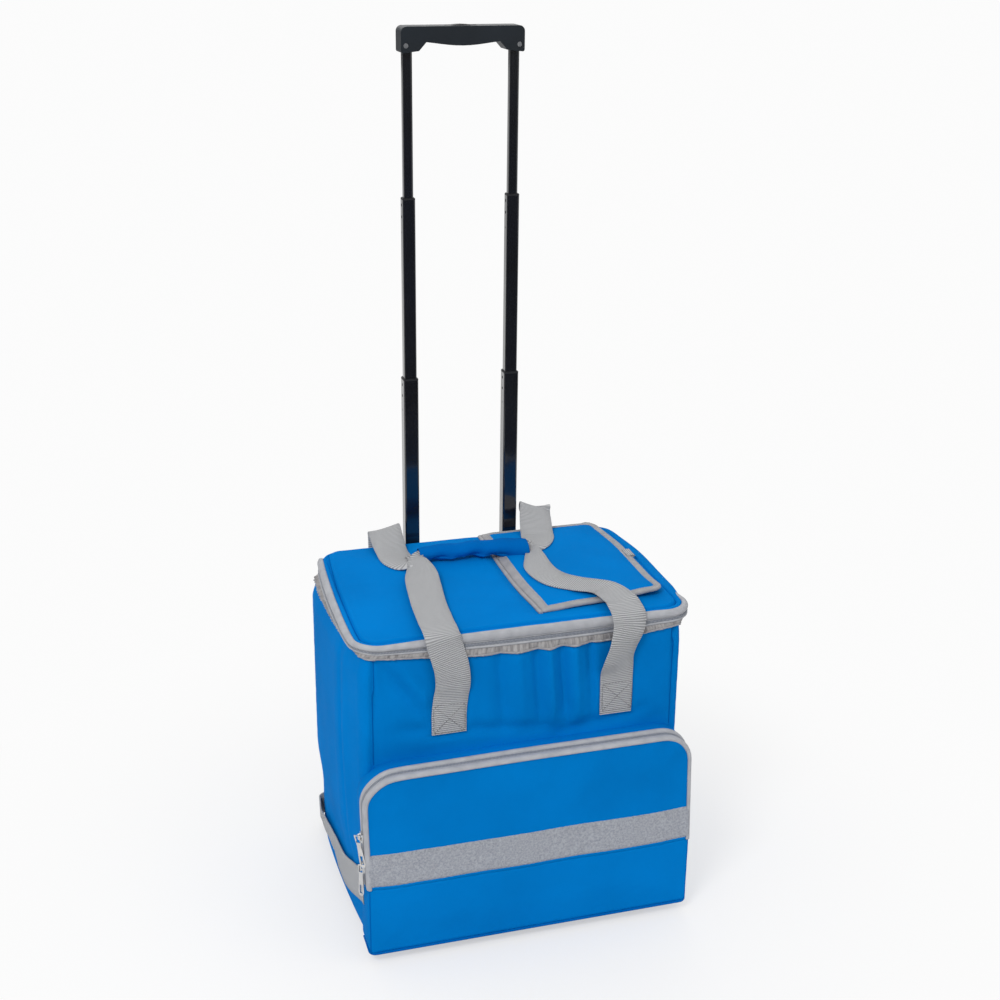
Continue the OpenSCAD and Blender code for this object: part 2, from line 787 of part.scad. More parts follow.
module pocket_front_tape() {
    color(tape_grey) below_fold(false) {
        along_y(pocket_y + 0.5, zip_y - 1.5) ring2d(pocket_outline(-0.8), pocket_outline(0.5));
        along_y(zip_y - 1.5, zip_y - gap / 2) ring2d(pocket_outline(-1.4), pocket_outline(1));
    }
}

module hook_loop_strip() {
    z0 = pocket_fold_z + 4;
    color([0.62, 0.64, 0.68]) box(-pocket_half + 0.5, pocket_half - 0.5,
        pocket_y - 1.3, pocket_y, z0, z0 + strip_h);
}

// ---------------------------------------------------------------- straps

// Rows: x, y, z, direction of the width, width
strap_fold_y = front_y - 4.6;
strap_fold_z = lid_z + 4;
leg_y = front_y - web_t / 2 - 0.1;
module front_strap_leg(x) {
    ribbon([
        [x, leg_y, 248, 1, 0, 0, web_w], [x, leg_y, 272, 1, 0, 0, web_w],
        [x, leg_y - 0.7, 298, 1, 0, 0, web_w],
        [x * 1.02, leg_y - 3, 325, 1, 0, 0, web_w],
        [x * 1.08, strap_fold_y - 0.6, strap_fold_z - 12, 1, 0, 0, web_w],
        [x * 1.09, strap_fold_y, strap_fold_z, 1, 0, 0, web_w]], web_t, 4);
}

module front_strap_ends() {
    color(grey) {
        front_strap_leg(-85);
        front_strap_leg(102);
    }
}

// The loop over the lid, from its fold at the front edge into the wrap and back
front_route = [
    [-92.6, strap_fold_y + 1, strap_fold_z + 1.2, 1, 0, 0, 38], [-93, -108, 366, 1, 0, 0, 38],
    [-90, -60, 370, 1, 0.05, 0, 38], [-84, -12, 373, 1, 0, 0.1, 38],
    [-79.5, 20, 377, 1, -0.3, 0.3, 34], [-79, 46, 379.5, 0.7, -0.7, 0.3, 22],
    [-69, 61.6, 378.2, 0.05, -1, 0, 14], [-40, 61.2, 379.1, 0, -1, 0, 14],
    [0, 60.1, 379.4, 0, -1, 0, 14], [30, 59.2, 378.1, 0, -1, 0, 14],
    [53.5, 58, 376.5, -0.05, -1, 0, 14], [60.5, 47, 376, -0.6, -0.75, -0.25, 18],
    [58, 23, 374, -0.85, -0.5, -0.25, 28], [52, -4, 371.5, -0.9, -0.4, -0.1, 34],
    [59, -34, 370, -0.75, -0.65, 0, 37], [79, -55, 371, -0.65, -0.75, 0, 37],
    [101, -76, 373, -0.9, -0.4, 0, 38], [110, -106, 369.5, -1, -0.08, 0, 38],
    [111.2, strap_fold_y + 1, strap_fold_z + 1.2, -1, 0, 0, 38]];

module front_strap() {
    color(grey) ribbon(front_route, web_t, 4);
}

back_fold_y = back_y + 7;
back_fold_z = lid_z + 6;
module back_strap_leg(x) {
    ribbon([
        [x, back_y + web_t / 2 + 0.1, 262, 1, 0, 0, web_w],
        [x, back_y + web_t / 2 + 0.1, 290, 1, 0, 0, web_w],
        [x, back_y + 1.8, 312, 1, 0, 0, web_w], [x, back_y + 4, 335, 1, 0, 0, web_w],
        [x, back_fold_y, back_fold_z, 1, 0, 0, web_w]], web_t, 4);
}

module back_strap_ends() {
    color(grey) {
        back_strap_leg(-93);
        back_strap_leg(94);
    }
}

back_route = [
    [-93, back_fold_y + 0.2, back_fold_z + 1.8, 1, 0, 0, 38],
    [-93, 143, 377, 1, 0, 0.2, 38], [-93.5, 134, 378.5, 1, 0.05, 0.2, 38],
    [-95, 112, 373, 1, 0.2, 0.1, 38], [-95, 88, 368, 0.85, 0.5, 0, 38],
    [-93, 67, 367.3, 0.68, 0.73, 0, 38], [-86, 56, 369, 0.46, 0.88, 0.08, 34],
    [-77, 57, 372, 0.2, 1, 0.1, 22], [-68, 61.8, 374.5, 0.05, 1, 0, 14],
    [-40, 61.2, 375.6, 0, 1, 0, 14], [0, 60.1, 375.8, 0, 1, 0, 14],
    [30, 59.2, 374.5, 0, 1, 0, 14], [54, 58.2, 372.8, 0, 1, 0, 14],
    [66, 65, 370.8, -0.5, 0.85, 0.2, 24], [73, 86, 371, -0.85, 0.5, 0.1, 35],
    [81, 109, 377, -0.88, 0.46, 0.1, 38], [89, 130, 385, -0.95, 0.2, 0.25, 38],
    [93, 144, 386, -1, 0, 0.3, 38],
    [94, back_fold_y + 0.2, back_fold_z + 1.8, -1, 0, 0, 38]];

module back_strap() {
    color(grey) ribbon(back_route, web_t, 4);
}

// Hook-and-loop wrap that holds both loops together as one carrying grip
module grip_wrap() {
    stations = 14;
    function mid(s) = [lerp(-67, 53, s), lerp(62, 58.3, s),
        376.3 + 1.6 * sin(180 * s) - 1.8 * pow(s, 3)];
    function ring(s, ry, rz) = [for (k = [0:11]) let (a = 30 * k, more = 3 * pow(s, 3))
        mid(s) + [0, (ry + more) * cos(a), (rz + more) * sin(a)]];
    color(blue) difference() {
        skin([for (i = [0:stations]) ring(i / stations, 11.5, 8.4)]);
        skin([for (i = [0:stations]) let (s = lerp(-0.01, 1.01, i / stations))
            ring(s, 9.5, 6.4)]);
    }
}

// Slack belts that run low round both sides of the bag
belt_route = [
    [182.2, -131, 80, 0, 0.4, 1, 38], [182.2, -117, 75.5, 0, 0.4, 1, 38],
    [180, -90, 62, 0, 0.3, 1, 38], [182.6, -40, 44, 0, 0.1, 1, 38],
    [183.6, 10, 38, 0, 0, 1, 38], [184.6, 70, 40, 0, 0, 1, 38],
    [187, 118, 47, 0, 0, 1, 38], [182, 135, 50, 0, 0, 1, 38],
    [172, 135.8, 52, 0, 0, 1, 38], [160, 135.8, 54, 0, 0, 1, 38]];
module side_belts() {
    color(grey) both_sides() ribbon(belt_route, web_t, 4);
}

// ---------------------------------------------------------------- zip sliders

// Slider body in its own frame: runs along Z, sits on a wall whose outside is +X
module slider() {
    color(steel) {
        along_x(0.2, 1.4) polygon([[-4.4, 4.6], [-3, -5.4], [3, -5.4], [4.4, 4.6]]);
        along_x(1.4, 2.6) polygon([[-4, 4.2], [-2.6, -5], [2.6, -5], [4, 4.2]]);
        along_y(-1, 1) difference() {
            polygon([[2.6, -3.4], [5.4, -1.6], [5.4, 3.2], [2.6, 4]]);
            polygon([[2.6, -1.6], [4.2, -0.8], [4.2, 1.8], [2.6, 2.2]]);
        }
    }
}

// Pull that hangs from the slider's bail: a ring, a waisted blade and an open end
pull_len = 30;
module pull() {
    color(steel) translate([0, 0, 0.4]) difference() {
        along_x(2.75, 3.85)
            polygon([[-3.2, 1.2], [-2, -9], [-3, -pull_len + 4], [-2, -pull_len],
                [2, -pull_len], [3, -pull_len + 4], [2, -9], [3.2, 1.2]]);
        box(0, 8, -1.9, 1.9, -6, 0.4);
        box(0, 8, -1.4, 1.4, -pull_len + 2.5, -pull_len + 11);
    }
}

slider_x = -pocket_half - 1.4;
upper_slider_z = 155;
lower_slider_z = 118;
module on_pocket_zip(z) {
    translate([slider_x, zip_y, z]) mirror([1, 0, 0]) children();
}
module pocket_slider_upper() {
    on_pocket_zip(upper_slider_z) slider();
}
module pocket_slider_lower() {
    on_pocket_zip(lower_slider_z) slider();
}
module pocket_pull_upper() {
    on_pocket_zip(upper_slider_z) rotate([-11, 0, 0]) pull();
}
module pocket_pull_lower() {
    on_pocket_zip(lower_slider_z) pull();
}

lid_slider_y = 50;
lid_slider_x = body_half_back + side_bulge + 1.4;
module lid_slider() {
    translate([lid_slider_x, lid_slider_y, rim_z + 0.5]) rotate([90, 0, 0]) slider();
}
module lid_pull() {
    translate([lid_slider_x, lid_slider_y, rim_z + 0.5]) rotate([90, 0, 0]) pull();
}

// ---------------------------------------------------------------- nodes

front_panel();
back_panel();
side_panel(-1);  // side_panel_left
side_panel(1);  // side_panel_right
bottom_panel();
foam_boards();
inner_liner();
base_board();
rim_band();
front_strap_ends();
back_strap_ends();
side_belts();
pocket_gusset();
pocket_lower_front();
pocket_rear_tape();
bottom_piping();
back_sleeve();
outer_tubes();
outer_collars();
base_tray();
tray_screws();
axle();
front_feet();
wheel_hub(-1);  // wheel_hub_left
wheel_hub(1);  // wheel_hub_right
tyre(-1);  // tyre_left
tyre(1);  // tyre_right
lower_tubes();
lower_collars();
lower_plugs();
middle_tubes();
middle_collars();
middle_plugs();
upper_tubes();
upper_plugs();
grip_front();
grip_rear();
grip_screws();
release_button();
push_rods();
button_springs();
lid_panel();
lid_lining();
lid_band();
lid_piping();
hatch_seam();
hatch_flap();
hatch_binding();
pocket_flap();
hook_loop_strip();
pocket_front_tape();
front_strap();
back_strap();
grip_wrap();
pocket_slider_upper();
pocket_slider_lower();
pocket_pull_upper();
pocket_pull_lower();
lid_slider();
lid_pull();
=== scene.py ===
import json
from math import cos, exp, hypot, pi, radians, sin, sqrt

import bmesh
import bpy
import numpy as np
from mathutils import Matrix, Vector, noise

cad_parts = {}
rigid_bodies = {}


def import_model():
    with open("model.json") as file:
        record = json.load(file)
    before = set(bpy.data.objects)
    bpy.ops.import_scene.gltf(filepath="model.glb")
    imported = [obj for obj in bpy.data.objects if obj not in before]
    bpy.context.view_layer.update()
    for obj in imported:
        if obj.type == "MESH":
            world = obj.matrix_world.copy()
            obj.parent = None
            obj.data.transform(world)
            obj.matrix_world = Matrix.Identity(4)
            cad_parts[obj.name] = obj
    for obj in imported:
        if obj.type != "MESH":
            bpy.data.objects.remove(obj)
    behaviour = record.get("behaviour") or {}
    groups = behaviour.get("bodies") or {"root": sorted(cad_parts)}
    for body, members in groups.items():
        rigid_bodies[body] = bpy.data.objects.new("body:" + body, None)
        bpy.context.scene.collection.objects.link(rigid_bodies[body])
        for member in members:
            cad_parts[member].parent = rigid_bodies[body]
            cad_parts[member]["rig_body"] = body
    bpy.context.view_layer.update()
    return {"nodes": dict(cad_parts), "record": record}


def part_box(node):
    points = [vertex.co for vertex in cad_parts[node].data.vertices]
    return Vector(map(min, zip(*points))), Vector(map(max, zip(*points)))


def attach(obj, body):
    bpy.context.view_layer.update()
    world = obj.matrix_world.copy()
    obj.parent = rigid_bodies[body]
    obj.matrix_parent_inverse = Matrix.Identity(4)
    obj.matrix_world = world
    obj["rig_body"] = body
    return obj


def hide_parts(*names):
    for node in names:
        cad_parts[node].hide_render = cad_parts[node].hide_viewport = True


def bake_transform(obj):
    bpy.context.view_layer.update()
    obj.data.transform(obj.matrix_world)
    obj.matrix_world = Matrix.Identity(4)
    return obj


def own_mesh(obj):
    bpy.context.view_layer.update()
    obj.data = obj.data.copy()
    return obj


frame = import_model()
nodes = frame["nodes"]
scene = bpy.context.scene
scene.view_settings.view_transform = "Standard"
ROOT = "bag_and_frame"
BACKDROP = (0.97, 0.97, 0.97, 1)


# ---------------------------------------------------------------- camera, light, floor

def make_camera():
    az, el, roll = (radians(a) for a in (-16.956, 20.853, 0.638))
    back = Vector((sin(az) * cos(el), -cos(az) * cos(el), sin(el)))
    right = (-back).cross(Vector((0, 0, 1))).normalized()
    up = right.cross(-back)
    x = right * cos(roll) + up * sin(roll)
    y = up * cos(roll) - right * sin(roll)
    data = bpy.data.cameras.new("camera")
    data.lens, data.sensor_width = 57.09, 36
    cam = bpy.data.objects.new("camera", data)
    m = Matrix((x, y, back)).transposed().to_4x4()
    m.translation = Vector((-0.4653, -1.5445, 1.0714))
    cam.matrix_world = m
    scene.collection.objects.link(cam)
    scene.camera = cam


def area_light(name, at, aim, size, power):
    data = bpy.data.lights.new(name, "AREA")
    data.shape, data.size, data.energy = "DISK", size, power
    lamp = bpy.data.objects.new(name, data)
    lamp.location = at
    lamp.rotation_euler = (Vector(aim) - Vector(at)).to_track_quat("-Z", "Y").to_euler()
    scene.collection.objects.link(lamp)


def fill_inputs(tree, node, values):
    """Fills a node's inputs, by name or number, with plain values or other nodes' outputs."""
    for key, value in values.items():
        socket = node.inputs[key.replace("_", " ") if isinstance(key, str) else key]
        if hasattr(value, "is_output"):
            tree.links.new(value, socket)
        else:
            socket.default_value = value


def add_node(tree, kind, *values, mode=None, **named):
    """New shader node. values fill its first inputs, and mode is one (setting, value)."""
    node = tree.nodes.new("ShaderNode" + kind)
    if mode:
        setattr(node, *mode)
    fill_inputs(tree, node, dict(enumerate(values)) | named)
    return node


def world_colour(tree):
    """White backdrop for the camera. For every other ray a bright room above the horizon
    and a dark one below it, so that glossy parts don't mirror a white floor everywhere."""
    height = add_node(tree, "SeparateXYZ", add_node(tree, "TexCoord").outputs["Generated"])
    room = add_node(tree, "MapRange", height.outputs["Z"],
                    From_Min=-0.12, From_Max=0.25, To_Min=0.05, To_Max=0.7)
    mix = add_node(tree, "Mix", mode=("data_type", "RGBA"), A=room.outputs[0], B=BACKDROP,
                   Factor=add_node(tree, "LightPath").outputs["Is Camera Ray"])
    return mix.outputs["Result"]


def floor_material():
    """Near the object half lit and half a white glow that only the camera sees, which paints the
    object's shadow lighter; all white glow further away, and clear from below.
    """
    mat = bpy.data.materials.new("floor")
    mat.use_nodes = True
    tree = mat.node_tree
    bsdf = tree.nodes["Principled BSDF"]
    fill_inputs(tree, bsdf, {"Base Color": (0.88, 0.88, 0.88, 1), "Roughness": 0.9,
                             "Specular IOR Level": 0.05})
    where = add_node(tree, "NewGeometry")
    far = add_node(tree, "VectorMath", where.outputs["Position"], mode=("operation", "LENGTH"))
    # painted light: even next to the object the camera sees half white glow, so the object's shadow on
    # the floor is painted lighter
    fade = add_node(tree, "MapRange", far.outputs["Value"], mode=("interpolation_type", "SMOOTHSTEP"),
                    From_Min=0.1, From_Max=0.7, To_Min=0.5)
    seen = add_node(tree, "Math", fade.outputs[0], add_node(tree, "LightPath").outputs["Is Camera Ray"],
                    mode=("operation", "MULTIPLY"))
    white = add_node(tree, "Emission", Color=BACKDROP)
    above = add_node(tree, "MixShader", seen.outputs[0], bsdf.outputs[0], white.outputs[0])
    clear = add_node(tree, "BsdfTransparent")
    both = add_node(tree, "MixShader", where.outputs["Backfacing"], above.outputs[0], clear.outputs[0])
    tree.links.new(both.outputs[0], tree.nodes["Material Output"].inputs["Surface"])
    return mat


def make_studio():
    world = bpy.data.worlds.new("studio")
    world.use_nodes = True
    scene.world = world
    tree = world.node_tree
    tree.links.new(world_colour(tree), tree.nodes["Background"].inputs[0])
    area_light("key", (-1.5, -1.7, 2.4), (0, 0, 0.25), 1.0, 42)
    area_light("fill", (1.8, -1.7, 1.2), (0, 0, 0.25), 2.4, 9)
    area_light("rear", (0.4, 2.2, 2.0), (0, 0, 0.4), 2.4, 12)
    floor = piece("floor", [[(-9000, y, 0), (9000, y, 0)] for y in (-900, 9000)])
    floor.data.materials.append(floor_material())


# ---------------------------------------------------------------- materials

def linear(rgb):
    """sRGB 0..255 to linear 0..1 with alpha."""
    c = [v / 255 for v in rgb]
    return tuple(v / 12.92 if v <= 0.04045 else ((v + 0.055) / 1.055) ** 2.4 for v in c) + (1,)


class Mat:
    """Small builder for one node material."""

    def __init__(self, name, rough, specular=0.5, metallic=0.0, **inputs):
        self.mat = bpy.data.materials.new(name)
        self.mat.use_nodes = True
        self.tree = self.mat.node_tree
        self.bsdf = self.tree.nodes["Principled BSDF"]
        self.set(Roughness=rough, Specular_IOR_Level=specular, Metallic=metallic, **inputs)
        self.coord = self.node("TexCoord").outputs

    def node(self, kind, *values, **named):
        return add_node(self.tree, kind, *values, **named)

    def set(self, **inputs):
        fill_inputs(self.tree, self.bsdf, inputs)

    def noise(self, scale, detail=3, stretch=None, source="Object"):
        at = self.coord[source]
        if stretch:
            at = self.node("Mapping", at, Scale=stretch).outputs[0]
        return self.node("TexNoise", Vector=at, Scale=scale, Detail=detail).outputs["Fac"]

    def wave(self, direction, scale, source="Object", distortion=0.0):
        return self.node("TexWave", mode=("bands_direction", direction), Vector=self.coord[source],
                         Scale=scale, Distortion=distortion).outputs["Fac"]

    def math(self, operation, a, b):
        return self.node("Math", a, b, mode=("operation", operation)).outputs[0]

    def ramp(self, fac, low, high, p0=0.3, p1=0.7):
        ramp = self.node("ValToRGB", fac)
        for stop, at, colour in zip(ramp.color_ramp.elements, (p0, p1), (low, high)):
            stop.position, stop.color = at, colour
        return ramp.outputs[0]

    def tone(self, fac, low, high, p0=0.3, p1=0.7):
        """Base colour that fac drives between two sRGB colours."""
        self.set(Base_Color=self.ramp(fac, linear(low), linear(high), p0, p1))

    def rough(self, socket, low, high):
        span = self.node("MapRange", socket, To_Min=low, To_Max=high)
        self.set(Roughness=span.outputs[0])

    def bump(self, *layers):
        """layers are (height socket, strength, distance in metres)."""
        below = {}
        for height, strength, distance in layers:
            bump = self.node("Bump", Height=height, Strength=strength, Distance=distance, **below)
            below = {"Normal": bump.outputs[0]}
        self.set(**below)


def woven(name, rgb, dark, crumple=0.0009):
    """Woven polyester: fine weave in all three directions and slow drift in colour."""
    m = Mat(name, 0.74, specular=0.012)
    threads = m.math("ADD", m.math("ADD", m.wave("X", 900), m.wave("Y", 900)), m.wave("Z", 900))
    m.tone(m.noise(9), dark, rgb, 0.35, 0.68)
    m.rough(m.noise(160, 2), 0.68, 0.82)
    m.bump((threads, 0.25, 0.00012), (m.noise(420), 0.3, 0.0002), (m.noise(40, 4), 0.4, crumple))
    return m.mat


def webbing_material():
    """Grey carry webbing: weft ribs across the width, warp lines along it, and painted shade in the
    valleys between the ribs.
    """
    m = Mat("webbing", 0.7, specular=0.16, Sheen_Weight=0.05)
    ribs = m.wave("Y", 140, "UV", 0.7)
    warp = m.wave("X", 420, "UV", 0.3)
    # painted shade: the ribs drive the colour, darker in their valleys than on their tops
    shade = m.ramp(ribs, linear((128, 130, 133)), linear((188, 189, 191)), 0.1, 0.55)
    soil = m.ramp(m.noise(46, 4), (0, 0, 0, 1), (0.6, 0.6, 0.6, 1), 0.35, 0.8)
    soiled_rib_shade = m.node("Mix", mode=("data_type", "RGBA"), Factor=soil, A=shade, B=linear((170, 171, 174)))
    m.set(Base_Color=soiled_rib_shade.outputs["Result"])
    m.bump((ribs, 0.8, 0.0007), (warp, 0.35, 0.0002), (m.noise(900, 2), 0.25, 0.0001))
    return m.mat


def tape_material(name, rgb, dark):
    """Woven zip tape: fine warp lines along its length."""
    m = Mat(name, 0.62, specular=0.2, Sheen_Weight=0.05)
    lines = m.wave("X", 600, "UV", 0.2)
    m.tone(m.noise(90), dark, rgb)
    m.bump((lines, 0.3, 0.0002), (m.noise(700, 2), 0.2, 0.0001))
    return m.mat


def pleated_material():
    """Gathered cloth: painted shade in the valleys of its fine upright pleats."""
    m = Mat("pleated", 0.7, specular=0.12)
    fine = m.noise(330, 4, (0.12, 1, 1), "UV")
    # painted shade: the pleats' height also drives the colour, darker in their valleys
    m.tone(fine, (124, 122, 124), (168, 166, 166), 0.34, 0.62)
    m.bump((fine, 0.7, 0.0012), (m.noise(700, 2), 0.2, 0.0001))
    return m.mat


def coil_material():
    """Nylon zip coil: round teeth side by side along the zip, with painted shade between the teeth."""
    m = Mat("zip_coil", 0.42, specular=0.5)
    teeth = m.wave("Y", 210, "UV")
    # painted shade: the teeth drive the colour, darker between them
    m.tone(teeth, (92, 98, 112), (158, 163, 172), 0.15, 0.6)
    m.bump((teeth, 0.9, 0.0005))
    return m.mat


def loop_material():
    """Napped loop tape: matted fibres, with clumps that catch the light."""
    m = Mat("loop_tape", 0.85, specular=0.1, Sheen_Weight=0.15, Sheen_Roughness=0.6)
    clumps = m.noise(420, 5)
    fibres = m.noise(1500, 4)
    mixed = m.math("MULTIPLY", m.math("ADD", clumps, fibres), 0.5)
    m.tone(mixed, (132, 136, 145), (170, 173, 180), 0.38, 0.62)
    m.bump((fibres, 0.6, 0.0004), (clumps, 0.7, 0.0009))
    return m.mat


def film_material():
    """Welded silver liner film, slightly crinkled."""
    m = Mat("liner_film", 0.34, specular=0.6, metallic=0.45)
    m.tone(m.noise(26), (188, 192, 198), (224, 227, 232))
    m.bump((m.noise(55, 4), 0.5, 0.0014), (m.noise(260), 0.3, 0.0004))
    return m.mat


def plastic(name, rgb, rough):
    m = Mat(name, rough, specular=0.4)
    m.tone(m.noise(24), [v * 0.86 for v in rgb], rgb)
    m.rough(m.noise(90), rough - 0.07, rough + 0.09)
    m.bump((m.noise(1400, 2), 0.22, 0.00012), (m.noise(50, 2), 0.05, 0.0004))
    return m.mat


def paint_material():
    """Gloss black tube, with faint draw lines along it and handling marks."""
    m = Mat("black_tube", 0.25, specular=0.4, Coat_Weight=1.0, Coat_Roughness=0.08, Coat_IOR=1.6)
    drawn = m.noise(900, 4, (1, 1, 0.02))
    m.tone(m.noise(18), (10, 12, 18), (17, 20, 29))
    m.rough(drawn, 0.14, 0.3)
    m.bump((drawn, 0.12, 0.00006))
    return m.mat


def metal_material(name, rgb, rough):
    m = Mat(name, rough, specular=0.5, metallic=1.0)
    m.tone(m.noise(200), [v * 0.9 for v in rgb], rgb)
    m.rough(m.noise(500), rough - 0.06, rough + 0.1)
    m.bump((m.noise(1500, 4, (1, 1, 0.1)), 0.1, 0.00005))
    return m.mat


def thread_material(low, high):
    m = Mat("thread", 0.55, specular=0.3, Sheen_Weight=0.1)
    m.tone(m.noise(800, 2), low, high)
    m.bump((m.wave("Y", 1400), 0.4, 0.0001))
    return m.mat


def tyre_material():
    m = Mat("tyre_rubber", 0.8, specular=0.25)
    m.tone(m.noise(60, 4), (22, 22, 23), (40, 40, 41))
    m.bump((m.noise(900), 0.35, 0.0003))
    return m.mat


BLUE = (0, 122, 202)
BLUE_DEEP = (0, 114, 191)
mats = {
    "blue_cloth": woven("blue_cloth", BLUE, BLUE_DEEP),
    # pocket_cloth is the blue cloth painted a little darker, as painted shade on the pocket
    "pocket_cloth": woven("pocket_cloth", (0, 119, 197), (0, 112, 187)),
    "wrap_cloth": woven("wrap_cloth", (0, 100, 180), (0, 88, 162), crumple=0.006),
    "dark_cloth": woven("dark_cloth", (0, 98, 176), (0, 90, 164)),
    "webbing": webbing_material(),
    "zip_tape": tape_material("zip_tape", (176, 178, 183), (160, 162, 168)),
    "gathered": tape_material("gathered", (164, 163, 165), (146, 146, 150)),
    "pleated": pleated_material(),
    "zip_coil": coil_material(),
    "hook_loop": loop_material(),
    "liner": film_material(),
    "black_plastic": plastic("black_plastic", (30, 31, 35), 0.5),
    "grip_plastic": plastic("grip_plastic", (22, 30, 38), 0.46),
    "black_tube": paint_material(),
    "steel": metal_material("steel", (188, 190, 194), 0.32),
    "nickel": metal_material("nickel", (214, 213, 211), 0.16),
    "thread": thread_material((140, 143, 148), (186, 188, 192)),
    "box_thread": thread_material((104, 103, 108), (132, 130, 134)),
    "tyre_rubber": tyre_material(),
}


# ---------------------------------------------------------------- mesh helpers

def piece(name, rows, closed=False, uv=None, skip=None, turned=False):
    """Mesh through a grid of points in millimetres: rows[j][i]. closed joins each row's ends.
    skip(x, y, z) leaves out faces by their middle. turned swaps U and V."""
    p = np.asarray(rows, float)
    nv, nu = p.shape[:2]
    us, vs = uv or lengths(p)
    faces, corners = [], []
    for j in range(nv - 1):
        for i in range(nu if closed else nu - 1):
            k = (i + 1) % nu
            if skip and skip(*(p[j, i] + p[j, k] + p[j + 1, i] + p[j + 1, k]) / 4):
                continue
            faces.append((j * nu + i, j * nu + k, (j + 1) * nu + k, (j + 1) * nu + i))
            for a, b in ((i, j), (i + 1, j), (i + 1, j + 1), (i, j + 1)):
                corners += (vs[b], us[a]) if turned else (us[a], vs[b])
    mesh = bpy.data.meshes.new(name)
    mesh.from_pydata((p.reshape(-1, 3) * 0.001).tolist(), [], faces)
    mesh.uv_layers.new(name="UVMap").data.foreach_set("uv", np.array(corners, np.float32) * 0.001)
    return smooth_object(name, mesh)


def smooth_object(name, mesh):
    mesh.polygons.foreach_set("use_smooth", [True] * len(mesh.polygons))
    mesh.update()
    o = bpy.data.objects.new(name, mesh)
    scene.collection.objects.link(o)
    return o


def distances(p):
    """Distance along a line of points, from its first to each of them."""
    return np.concatenate([[0], np.cumsum(np.linalg.norm(np.diff(p, axis=0), axis=1))])


def lengths(p):
    """Distances along the middle row, with its closing step, and along the middle column."""
    nv, nu = p.shape[:2]
    us = distances(p[nv // 2])
    return np.append(us, us[-1] * nu / max(nu - 1, 1)), distances(p[:, nu // 2])


def thicken(o, mm, offset=-1):
    m = o.modifiers.new("thickness", "SOLIDIFY")
    m.thickness, m.offset = mm * 0.001, offset
    m.use_even_offset = False
    return o


def toward(ring, centre, s):
    """A ring of points drawn to its centre by the share s."""
    return ring * (1 - s) + centre * s


def dress(o, material, body, replaced=()):
    o.data.materials.clear()
    o.data.materials.append(mats[material])
    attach(o, body)
    if replaced:
        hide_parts(*replaced)
    return o


def cloth(name, rows, material, body, slot=None, replaced=(), mm=1.2, **kw):
    """Cloth of some thickness, half of it to each side of the grid."""
    return dress(thicken(piece(name, rows, **kw), mm, 0), material, body, replaced)


def smooth(t):
    t = min(max(t, 0.0), 1.0)
    return t * t * (3 - 2 * t)


def rise(v, start, width):
    """0 where v is below start, and 1 from start + width on."""
    return smooth((v - start) / width)


def fall(v, end, width):
    """1 where v is below end - width, and 0 from end on."""
    return smooth((end - v) / width)


def bell(x, mid, width):
    return exp(-((x - mid) / width) ** 2)


def lerp(a, b, s):
    return a + (b - a) * s


def rough_at(x, y, z, size, seed=0):
    """Smooth noise of about -1..1 with features about size millimetres across."""
    return noise.noise(Vector((x / size + seed * 7.3, y / size - seed * 3.1, z / size + seed)))


# ---------------------------------------------------------------- outlines shared with the CAD part

BODY_FRONT, BODY_BACK = 175.0, 177.0
FRONT_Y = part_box("front_panel")[0].y * 1000
BACK_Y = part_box("back_panel")[1].y * 1000
BOTTOM_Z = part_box("front_panel")[0].z * 1000
RIM_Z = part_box("front_panel")[1].z * 1000
LID_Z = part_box("lid_panel")[1].z * 1000
LID_FRONT, LID_BACK = 184.0, 176.0
LID_FRONT_Y = FRONT_Y - 2
SEAM_R, LID_R = 12.0, 28.0
LID_CENTRE = (0, 6.0)
HOLE = (36, 148, -66, 96)
ZIP_END = BACK_Y - 16
POCKET_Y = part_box("pocket_lower_front")[0].y * 1000
POCKET_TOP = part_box("pocket_gusset")[1].z * 1000
POCKET_HALF, POCKET_R = 181.0, 32.0
FOLD_Z = 93.0
ZIP_Y = POCKET_Y + 9


def arc(cx, cy, r, a0, n):
    return [(cx + r * cos(radians(a0 + 90 * k / n)),
             cy + r * sin(radians(a0 + 90 * k / n))) for k in range(n + 1)]


def plan(half_front, half_back, y0, y1, r, bulge, n=8, m=30):
    right = arc(half_front - r, y0 + r, r, -90, n)
    right += [(lerp(half_front, half_back, k / m) + bulge * 4 * k / m * (1 - k / m),
               lerp(y0 + r, y1 - r, k / m)) for k in range(1, m)]
    right += arc(half_back - r, y1 - r, r, 0, n)
    return right + [(-x, y) for x, y in reversed(right)]


def resample(poly, count, closed=True):
    p = np.array(poly + [poly[0]] if closed else poly, float)
    s = distances(p)
    t = np.linspace(0, s[-1], count + 1)[:-1] if closed else np.linspace(0, s[-1], count)
    return np.stack([np.interp(t, s, p[:, k]) for k in range(p.shape[1])], 1)


def body_ring(inset, count):
    p = plan(BODY_FRONT - inset, BODY_BACK - inset, FRONT_Y + inset, BACK_Y - inset,
             max(SEAM_R - inset, 1), 4)
    return resample([(0, FRONT_Y + inset)] + p, count)


def lid_ring(inset, count):
    p = plan(LID_FRONT - inset, LID_BACK - inset, LID_FRONT_Y + inset, BACK_Y - inset,
             max(LID_R - inset, 2), 3)
    ring = resample([(0, LID_FRONT_Y + inset)] + p, count)
    slack = corner_slack(ring[:, 0], ring[:, 1])
    return ring + np.stack([slack, slack], 1) * 2.6


def corner_slack(x, y):
    """The lid's left front corner is rounder than the others."""
    return np.exp(-((x + LID_FRONT) ** 2 + (y - LID_FRONT_Y) ** 2) / 26 ** 2)


def rim_ring(t, inset, count):
    """Outline between the lid's edge (t = 0) and the bag's own (t = 1)."""
    return lid_ring(inset, count) * (1 - t) + body_ring(inset, count) * t


